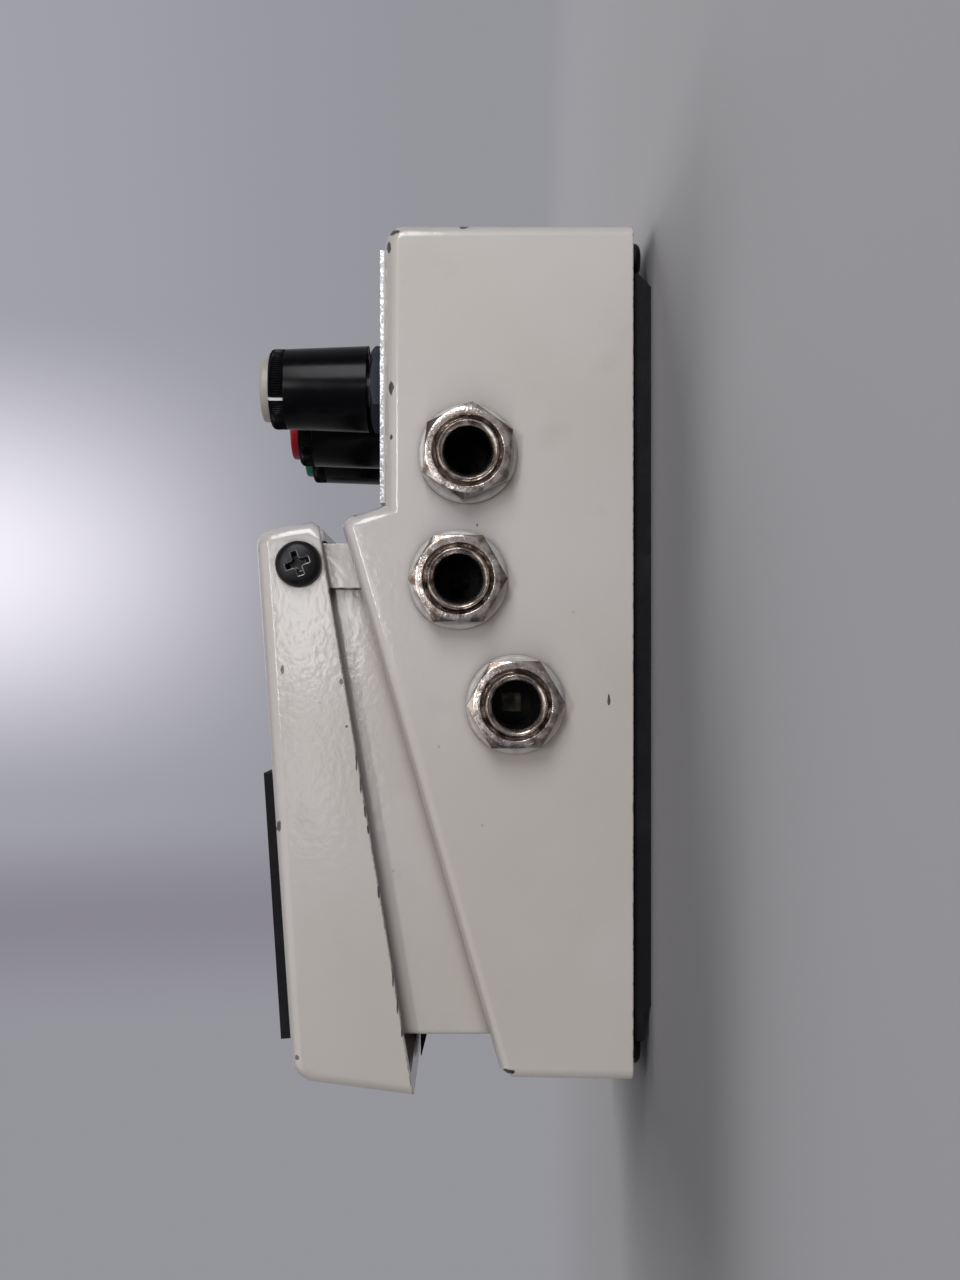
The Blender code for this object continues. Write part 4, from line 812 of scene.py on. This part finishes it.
def jack_contact(side, number):
    """The tip contact at the bottom of a jack's bore: a folded metal leaf, light in the jack
    nearest the front and near black in the other two."""
    node = f"jack_socket_{side}_{number}"
    direction = OUTWARD[side]
    place, _, _ = span(node, direction)
    place.x = direction.x * (SOCKET_FLOOR + 0.05 * MM)
    name = f"jack_contact_{side}_{number}"
    bm = bmesh.new()
    matrix = facing(place, direction)
    add_box(bm, (CONTACT_SIDE, CONTACT_SIDE, 0.5 * MM), matrix)
    aside = Matrix.Translation((-0.35 * MM, 0.35 * MM, 0))
    add_box(bm, (1.5 * MM, 1.7 * MM, 0.9 * MM), matrix @ aside)
    material = "contact" if number == 3 else "dark_contact"
    return finished(name, from_bmesh(name, bm), node, material, replaces=False)


RIBS = 96
RIB_DEPTH = 0.3 * MM
RING_HEIGHT = 2.3 * MM
KNOB_TAPER = 0.5 * MM  # a knob's top is smaller than its foot by this, in radius
POINTER_WIDTH = 0.42 * MM
POINTER_DEPTH = 0.25 * MM
POINTER_START = 5.35 * MM  # from the knob's axis, a little outside its cap
POINTER_ANGLE = {"mode": -25.0, "level_a": 90.0, "level_b": 90.0}  # from +X, at rest


def knob(label):
    """A tall gloss knob: a plain skirt and a finely ribbed ring round its top."""
    node = "knob_" + label
    place, height, radius = span(node, UP)
    cap_radius = span("cap_" + label, UP)[2]
    top_radius = radius - KNOB_TAPER
    seat = cap_radius + 0.15 * MM
    ring = height - RING_HEIGHT
    hollow, hollow_height = 3.4 * MM, 3.0 * MM
    under = [(0.0, hollow_height), (hollow, hollow_height), (hollow, 0.0)]
    skirt = eased(
        [
            (radius, 0.0, 0.18 * MM),
            (top_radius + 0.02 * MM, ring - 0.12 * MM, 0.05 * MM),
            (top_radius - 0.12 * MM, ring - 0.06 * MM, 0.0),
        ]
    )

    def outline(angle):
        wave = 0.5 + 0.5 * math.cos(RIBS * angle)
        rib = top_radius - RIB_DEPTH * wave
        crown = [
            (rib, ring + 0.02 * MM),
            (rib, height - 0.7 * MM),
            (rib - 0.1 * MM, height - 0.32 * MM),
            (top_radius - 0.42 * MM, height - 0.06 * MM),
            (top_radius - 0.65 * MM, height),
            (seat, height),
            (seat, height - 0.9 * MM),
            (0.0, height - 0.9 * MM),
        ]
        return under + skirt + crown

    mesh = lathe(node + "_ribbed", outline, RIBS * 4, facing(place, UP))
    return finished(node + "_ribbed", mesh, node, "black_plastic", angle=40.0)


def pointer(label):
    """The white line let into a knob's ring and top, which shows where it points."""
    node = "knob_" + label
    place, height, radius = span(node, UP)
    rim = radius - KNOB_TAPER
    outline = [
        (POINTER_START, height + 0.015 * MM),
        (rim - 0.62 * MM, height + 0.015 * MM),
        (rim - 0.38 * MM, height - 0.03 * MM),
        (rim - 0.03 * MM, height - 0.28 * MM),
        (rim + 0.06 * MM, height - 0.65 * MM),
        (rim + 0.06 * MM, height - RING_HEIGHT + 0.1 * MM),
    ]
    inner = [(reach - POINTER_DEPTH, rise - POINTER_DEPTH) for reach, rise in reversed(outline)]
    loop = outline + inner
    bm = bmesh.new()
    matrix = Matrix.Translation(place) @ Matrix.Rotation(math.radians(POINTER_ANGLE[label]), 4, "Z")
    sides = []
    for across in (-POINTER_WIDTH / 2, POINTER_WIDTH / 2):
        sides.append([bm.verts.new(matrix @ Vector((reach, across, rise))) for reach, rise in loop])
    count = len(loop)
    for index in range(count):
        after = (index + 1) % count
        bm.faces.new((sides[0][index], sides[0][after], sides[1][after], sides[1][index]))
    for face in sides:
        bm.faces.new(face)
    bmesh.ops.triangulate(bm, faces=[face for face in bm.faces if len(face.verts) > 4])
    bmesh.ops.recalc_face_normals(bm, faces=bm.faces)
    name = "pointer_" + label
    return finished(name, from_bmesh(name, bm), node, "ink", replaces=False)


def cap(label):
    """The coloured cap pressed into a knob's top, a little domed and rounded at its rim."""
    node = "cap_" + label
    place, height, radius = span(node, UP)
    corners = [
        (0.0, 0.0, 0.0),
        (radius, 0.0, 0.0),
        (radius, height - 0.28 * MM, 0.5 * MM),
        (radius * 0.55, height - 0.05 * MM, 0.6 * MM),
        (0.0, height, 0.0),
    ]
    mesh = lathe(node + "_domed", eased(corners, 6), 72, facing(place, UP))
    return finished(node + "_domed", mesh, node, SLOT_OF[node], angle=40.0)


# Pan-head screws: their sizes, and the reach of the cross recess and its turn.
HINGE_SCREW = {
    "head_radius": 3.4 * MM,
    "head_height": 1.9 * MM,
    "shank_radius": 1.9 * MM,
    "recess": 2.6 * MM,
    "turn": math.radians(20),
}
BASE_SCREW = {
    "head_radius": 2.5 * MM,
    "head_height": 1.4 * MM,
    "shank_radius": 1.5 * MM,
    "recess": 1.5 * MM,
    "turn": 0.5,
}


def cross_cutters(name, matrix, reach):
    """Two tapered bars and a centre pit that cut a cross recess down from the matrix's place."""
    width = reach * 0.5
    depth = reach * 0.62
    pit_width = width * 1.5
    bottom = matrix @ Matrix.Translation((0, 0, -depth))
    made = []
    for quarter in range(2):
        turned = bottom @ Matrix.Rotation(quarter * math.pi / 2, 4, "Z")
        made.append(block(f"{name}_{quarter}", (2 * reach, width, 2 * depth), turned, 0.45))
    pit = bottom @ Matrix.Rotation(math.pi / 4, 4, "Z")
    made.append(block(name + "_pit", (pit_width, pit_width, 2 * depth), pit, 0.7))
    return made


def cross_screw(node, direction, head_radius, head_height, shank_radius, recess, turn):
    """A pan-head screw with a cross recess, worn at the recess's edges."""
    place, length, _ = span(node, direction)
    shank = length - head_height
    dome = head_height * 0.42
    corners = [
        (0.0, 0.0, 0.0),
        (shank_radius - 0.25 * MM, 0.0, 0.0),
        (shank_radius, 0.3 * MM, 0.0),
        (shank_radius, shank, 0.0),
        (head_radius - 0.08 * MM, shank, 0.08 * MM),
        (head_radius, shank + (head_height - dome) * 0.75, 0.25 * MM),
        (head_radius * 0.84, shank + head_height * 0.86, 0.5 * MM),
        (head_radius * 0.45, length - 0.03 * MM, 0.5 * MM),
        (0.0, length, 0.0),
    ]
    name = node + "_cut"
    mesh = lathe(name, eased(corners, 5), 72, facing(place, direction))
    piece = finished(name, mesh, node, "worn_black_steel")
    top = facing(place + direction * length, direction, turn)
    return cut(piece, cross_cutters(name, top, recess), 35.0)


THUMB_HEAD = 7.5 * MM
THUMB_SHANK = 2.0 * MM
KNURLS = 48
KNURL_DEPTH = 0.22 * MM
SLOT_WIDTH = 1.4 * MM
SLOT_DEPTH = 1.3 * MM


def thumbscrew():
    """The thumbscrew: a straight-knurled head with a coin slot, and its shank."""
    node = "thumbscrew"
    place, length, radius = span(node, UP)
    shank = length - THUMB_HEAD

    def outline(angle):
        rib = radius - KNURL_DEPTH * (0.5 + 0.5 * math.cos(KNURLS * angle))
        return [
            (0.0, 0.0),
            (THUMB_SHANK - 0.3 * MM, 0.0),
            (THUMB_SHANK, 0.3 * MM),
            (THUMB_SHANK, shank),
            (radius - 0.7 * MM, shank),
            (rib - 0.05 * MM, shank + 0.55 * MM),
            (rib, shank + 0.7 * MM),
            (rib, length - 0.7 * MM),
            (rib - 0.05 * MM, length - 0.55 * MM),
            (radius - 0.75 * MM, length),
            (0.0, length),
        ]

    mesh = lathe("thumbscrew_knurled", outline, KNURLS * 4, facing(place, UP))
    piece = finished("thumbscrew_knurled", mesh, node, "black_steel")
    slot_floor = facing(place + UP * (length - SLOT_DEPTH), UP)
    slot = block("slot_cutter", (4 * radius, SLOT_WIDTH, 3 * MM), slot_floor)
    return cut(piece, [slot], 40.0)


LENS_SINKS = 0.6 * MM  # how far the lens stands below its CAD node's top


def lens():
    """The indicator: a domed lens over its narrower body."""
    node = "led"
    place, height, radius = span(node, UP)
    height -= LENS_SINKS
    body = radius - 0.25 * MM
    dome = height - radius
    outline = [(0.0, 0.0), (body, 0.0), (body, dome), (radius, dome)]
    steps = 12
    for step in range(1, steps):
        angle = math.pi / 2 * step / steps
        outline.append((radius * math.cos(angle), dome + radius * math.sin(angle)))
    outline.append((0.0, height))
    mesh = lathe("led_lens", outline, 48, facing(place, UP))
    return finished("led_lens", mesh, node, "led_red", angle=40.0)


SPRING_TURNS = 6
CLOSED_TURNS = 0.75  # at each end, where the coil lies nearly flat
CLOSED_RISE = 0.9  # of one closed end, in wire radii
SPRING_WIRE = 0.6 * MM


def coil(height, reach, steps):
    """The middle line of the spring's wire, with this many points to a turn."""
    closed = CLOSED_RISE * SPRING_WIRE
    free = height - 2 * (SPRING_WIRE + closed)
    path = []
    for step in range(SPRING_TURNS * steps + 1):
        turn = step / steps
        lower = min(turn / CLOSED_TURNS, 1.0)
        upper = max((turn - SPRING_TURNS) / CLOSED_TURNS + 1.0, 0.0)
        share = min(max((turn - CLOSED_TURNS) / (SPRING_TURNS - 2 * CLOSED_TURNS), 0.0), 1.0)
        rise = SPRING_WIRE + closed * (lower + upper) + free * share
        angle = FULL_TURN * turn
        path.append(Vector((reach * math.cos(angle), reach * math.sin(angle), rise)))
    return path


def spring():
    """The return spring: a coil with closed ends, on a mesh of its own."""
    node = "treadle_spring"
    place, height, radius = span(node, UP)
    path = coil(height, radius - SPRING_WIRE, 28)
    matrix = facing(place, UP)
    bm = bmesh.new()
    sides = 12
    rings = []
    for index, point in enumerate(path):
        ahead = path[min(index + 1, len(path) - 1)] - path[max(index - 1, 0)]
        outward = Vector((point.x, point.y, 0)).normalized()
        upward = ahead.normalized().cross(outward)
        ring = []
        for side in range(sides):
            angle = FULL_TURN * side / sides
            offset = outward * math.cos(angle) + upward * math.sin(angle)
            ring.append(bm.verts.new(matrix @ (point + offset * SPRING_WIRE)))
        rings.append(ring)
    for here, there in zip(rings, rings[1:]):
        for side in range(sides):
            after = (side + 1) % sides
            bm.faces.new((here[side], here[after], there[after], there[side]))
    bm.faces.new(rings[0])
    bm.faces.new(rings[-1])
    bmesh.ops.recalc_face_normals(bm, faces=bm.faces)
    piece = finished("spring_coil", from_bmesh("spring_coil", bm), node, "bright_steel", angle=50.0)
    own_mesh(piece)
    return piece


# ---- Rubber and printed pieces ----

GROOVES = 21
GROOVE_WIDTH = 0.9 * MM
GROOVE_DEPTH = 0.55 * MM
PAD_FALL = 0.0649  # how far the pad's top falls towards the front, per unit of length
TICKS = 11
TICK_STEP = 30.0
TICKS_FROM = 8.1 * MM  # their inner ends, from the knob's axis
LONG_TICK, SHORT_TICK = 1.3 * MM, 0.8 * MM
TICK_WIDTH = 0.3 * MM
INK_GAP, INK_DEPTH = 0.005 * MM, 0.02 * MM


def ribbed_pad():
    """The treadle's rubber pad, grooved along its length."""
    piece = refined("treadle_pad", "black_rubber", weighted=False)
    low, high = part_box("treadle_pad")
    middle = (low.y + high.y) / 2
    length = high.y - low.y
    pitch = (high.x - low.x) / (GROOVES + 1)
    slope = Matrix.Rotation(math.atan(PAD_FALL), 4, "X")
    height = high.z - GROOVE_DEPTH - PAD_FALL * length / 2
    cutters = []
    for index in range(GROOVES):
        place = Vector((low.x + pitch * (index + 1), middle, height))
        size = (GROOVE_WIDTH, 2 * length, 4 * MM)
        cutters.append(block(f"groove_{index}", size, Matrix.Translation(place) @ slope))
    return cut(piece, cutters, 30.0)


def dial_marks():
    """The printed ticks round each knob, from one end of its pointer's turn to the other."""
    _, plate_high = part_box("control_plate")
    bm = bmesh.new()
    for label in KNOBS:
        centre, _, _ = span("knob_" + label, UP)
        centre.z = plate_high.z + INK_GAP
        start = POINTER_ANGLE[label] + JOINTS[label + "_turn"]["range_deg"][0]
        for tick in range(TICKS):
            angle = math.radians(start + TICK_STEP * tick)
            turned = Matrix.Translation(centre) @ Matrix.Rotation(angle, 4, "Z")
            is_long = tick in (0, TICKS // 2, TICKS - 1)
            length = LONG_TICK if is_long else SHORT_TICK
            outward = Matrix.Translation((TICKS_FROM + length / 2, 0, 0))
            add_box(bm, (length, TICK_WIDTH, INK_DEPTH), turned @ outward)
    mesh = from_bmesh("dial_marks", bm)
    return finished("dial_marks", mesh, "control_plate", "ink", replaces=False)


# ---- The stage ----

CAMERA_PLACE = (0.2415, -0.00237, 0.0271)
CAMERA_LENS = 39.15
CAMERA_SHIFT = (0.00906, 0.0289)
LAMPS_AIM_AT = Vector((0, 0, 0.03))
FLOOR_HALF = 6.0
FLOOR_FADES = (0.10, 0.31)  # from the pedal's middle, where the floor takes the backdrop's colour


def make_camera():
    """Level with the pedal, square to its right side, turned so that its rear end is up."""
    data = bpy.data.cameras.new("camera")
    data.lens = CAMERA_LENS
    data.sensor_width = 36.0
    data.shift_x, data.shift_y = CAMERA_SHIFT
    data.clip_start = 0.001
    camera = new_object("camera", data)
    across, upward, back = -UP, Vector((0, 1, 0)), RIGHT
    turned = Matrix((across, upward, back)).transposed().to_4x4()
    camera.matrix_world = Matrix.Translation(CAMERA_PLACE) @ turned
    bpy.context.scene.camera = camera


def lamp(name, place, size, power, colour=(1.0, 1.0, 1.0), mirrored=True):
    """A soft lamp aimed at the pedal. One that isn't mirrored shows in no reflection."""
    data = bpy.data.lights.new(name, "AREA")
    data.shape = "RECTANGLE"
    data.size, data.size_y = size
    data.energy = power
    data.color = colour
    light = new_object(name, data)
    towards = LAMPS_AIM_AT - Vector(place)
    light.rotation_euler = towards.to_track_quat("-Z", "Y").to_euler()
    light.location = place
    light.visible_camera = False
    light.visible_glossy = mirrored


def floor():
    """A plain floor that takes the backdrop's own colour away from the pedal."""
    bm = bmesh.new()
    bmesh.ops.create_grid(bm, x_segments=1, y_segments=1, size=FLOOR_HALF)
    mesh = from_bmesh("floor", bm)
    finish = Finish("floor_plain", FLOOR, 1.0)
    finish.set("Specular IOR Level", 0.0)
    finish.set("Base Color", finish.mix(finish.noise(0.4), FLOOR, shaded(FLOOR, 0.97)))
    faded = finish.step(finish.measure("LENGTH", finish.place), *FLOOR_FADES)
    faded = finish.math("MULTIPLY", faded, finish.seen())
    glow = finish.node("Emission", None, {"Color": (*BACKDROP, 1.0)}).outputs["Emission"]
    blend = finish.node("MixShader", None, {0: faded, 1: finish.shader.outputs["BSDF"], 2: glow})
    finish.feed(finish.tree.nodes["Material Output"].inputs["Surface"], blend.outputs["Shader"])
    mesh.materials.append(finish.material)
    made = new_object("floor", mesh)
    made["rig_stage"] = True


class Sky(Finish):
    """The same node methods on the world's own tree."""

    def __init__(self, world):
        self.tree = world.node_tree
        self.place = self.node("TexCoord").outputs["Generated"]

    def near(self, way, low, high):
        """1 for directions close to way, falling to 0 where their dot product with it is low."""
        return self.step(self.measure("DOT_PRODUCT", self.place, way), low, high)

    def band(self, value, middle, half):
        """1 where value is at middle, falling to 0 at half away from it."""
        away = self.math("ABSOLUTE", self.math("SUBTRACT", value, middle))
        return self.step(away, half, 0.0)


def surroundings():
    """An even pale light all round. Seen behind the pedal it is a plain backdrop with a soft
    bright place, and reflected from the camera's side it is a dim room with one pale window."""
    world = bpy.data.worlds.new("surroundings")
    bpy.context.scene.world = world
    world.use_nodes = True
    sky = Sky(world)
    way = sky.parts(sky.place)

    # The backdrop, whose dim and bright places lie only beyond the pedal
    rise = sky.math("MULTIPLY", sky.step(way["Z"], 0.0, 0.35), sky.step(way["Y"], -0.25, -0.1))
    backdrop = sky.mix(rise, BACKDROP, BACKDROP_HIGH)
    behind = sky.step(way["X"], -0.6, -0.85)
    dim = sky.math("MULTIPLY", sky.band(way["Y"], -0.165, 0.075), sky.step(way["Z"], 0.0, 0.12))
    backdrop = sky.mix(sky.math("MULTIPLY", dim, behind), backdrop, BACKDROP_DIM)
    glow = sky.math("MULTIPLY", sky.band(way["Y"], 0.08, 0.17), sky.step(way["Z"], 0.09, 0.37))
    backdrop = sky.mix(sky.math("MULTIPLY", glow, behind), backdrop, BACKDROP_GLOW)

    # The room on the camera's side, seen in reflections only
    room = sky.mix(sky.near(CAMERA_SIDE_AT, 0.82, 0.98), ROOM, ROOM_NEAR_CAMERA)
    room = sky.mix(sky.near(WINDOW_AT, 0.80, 0.93), room, WINDOW)
    reflected = sky.node("LightPath").outputs["Is Glossy Ray"]
    mirrored = sky.math("MULTIPLY", reflected, sky.step(way["X"], -0.15, 0.2))
    shown = sky.mix(mirrored, backdrop, room)
    sky.feed(sky.tree.nodes["Background"].inputs["Color"], sky.mix(sky.seen(), AMBIENT, shown))


def light_stage():
    """The lamps: place, size and power, in metres and watts."""
    lamp("key", (0.42, 0.37, 0.13), (0.33, 0.16), 1.75, (0.985, 0.99, 1.0))
    lamp("behind", (-0.70, 0.32, 0.62), (0.85, 0.26), 10.5, mirrored=False)
    lamp("front_end", (0.60, -0.60, 0.07), (0.60, 0.12), 1.7, (1.0, 0.93, 0.87), mirrored=False)
    lamp("line_light", (1.2, 0.12, 0.55), (0.36, 0.08), 3.2)
    lamp("camera_side", (1.5, 0.08, 0.23), (0.16, 0.075), 0.36)
    lamp("camera_side_low", (1.5, -0.10, 0.23), (0.20, 0.075), 0.13)


def build_pedal():
    """Every visible piece. The last loop skins the nodes that no other piece replaces."""
    case_skin()
    refined("treadle", "treadle_paint")
    for side, direction in OUTWARD.items():
        for number in (1, 2, 3):
            washer(f"jack_washer_{side}_{number}", direction)
            nut(f"jack_nut_{side}_{number}", direction, NUT_BORE, "nickel")
            jack_bushing(side, number)
            jack_housing(side, number)
            jack_contact(side, number)
        cross_screw(f"hinge_screw_{side}", direction, **HINGE_SCREW)
    for label in KNOBS:
        knob(label)
        pointer(label)
        cap(label)
    nut("mode_nut", UP, POT_NUT_BORE, "blackened_nut")
    nut("pot_nut_a", UP, POT_NUT_BORE, "nickel")
    nut("pot_nut_b", UP, POT_NUT_BORE, "nickel")
    thumbscrew()
    lens()
    spring()
    ribbed_pad()
    dial_marks()
    for end in ("rear", "front"):
        for side in ("left", "right"):
            cross_screw(f"base_screw_{end}_{side}", -UP, **BASE_SCREW)
    replaced = set()
    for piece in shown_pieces():
        replaced.update(piece.get("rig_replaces", []))
    for node in sorted(set(NODES) - replaced):
        refined(node, SLOT_OF[node])


make_camera()
floor()
surroundings()
light_stage()
build_pedal()
bpy.context.scene.view_settings.view_transform = "Standard"
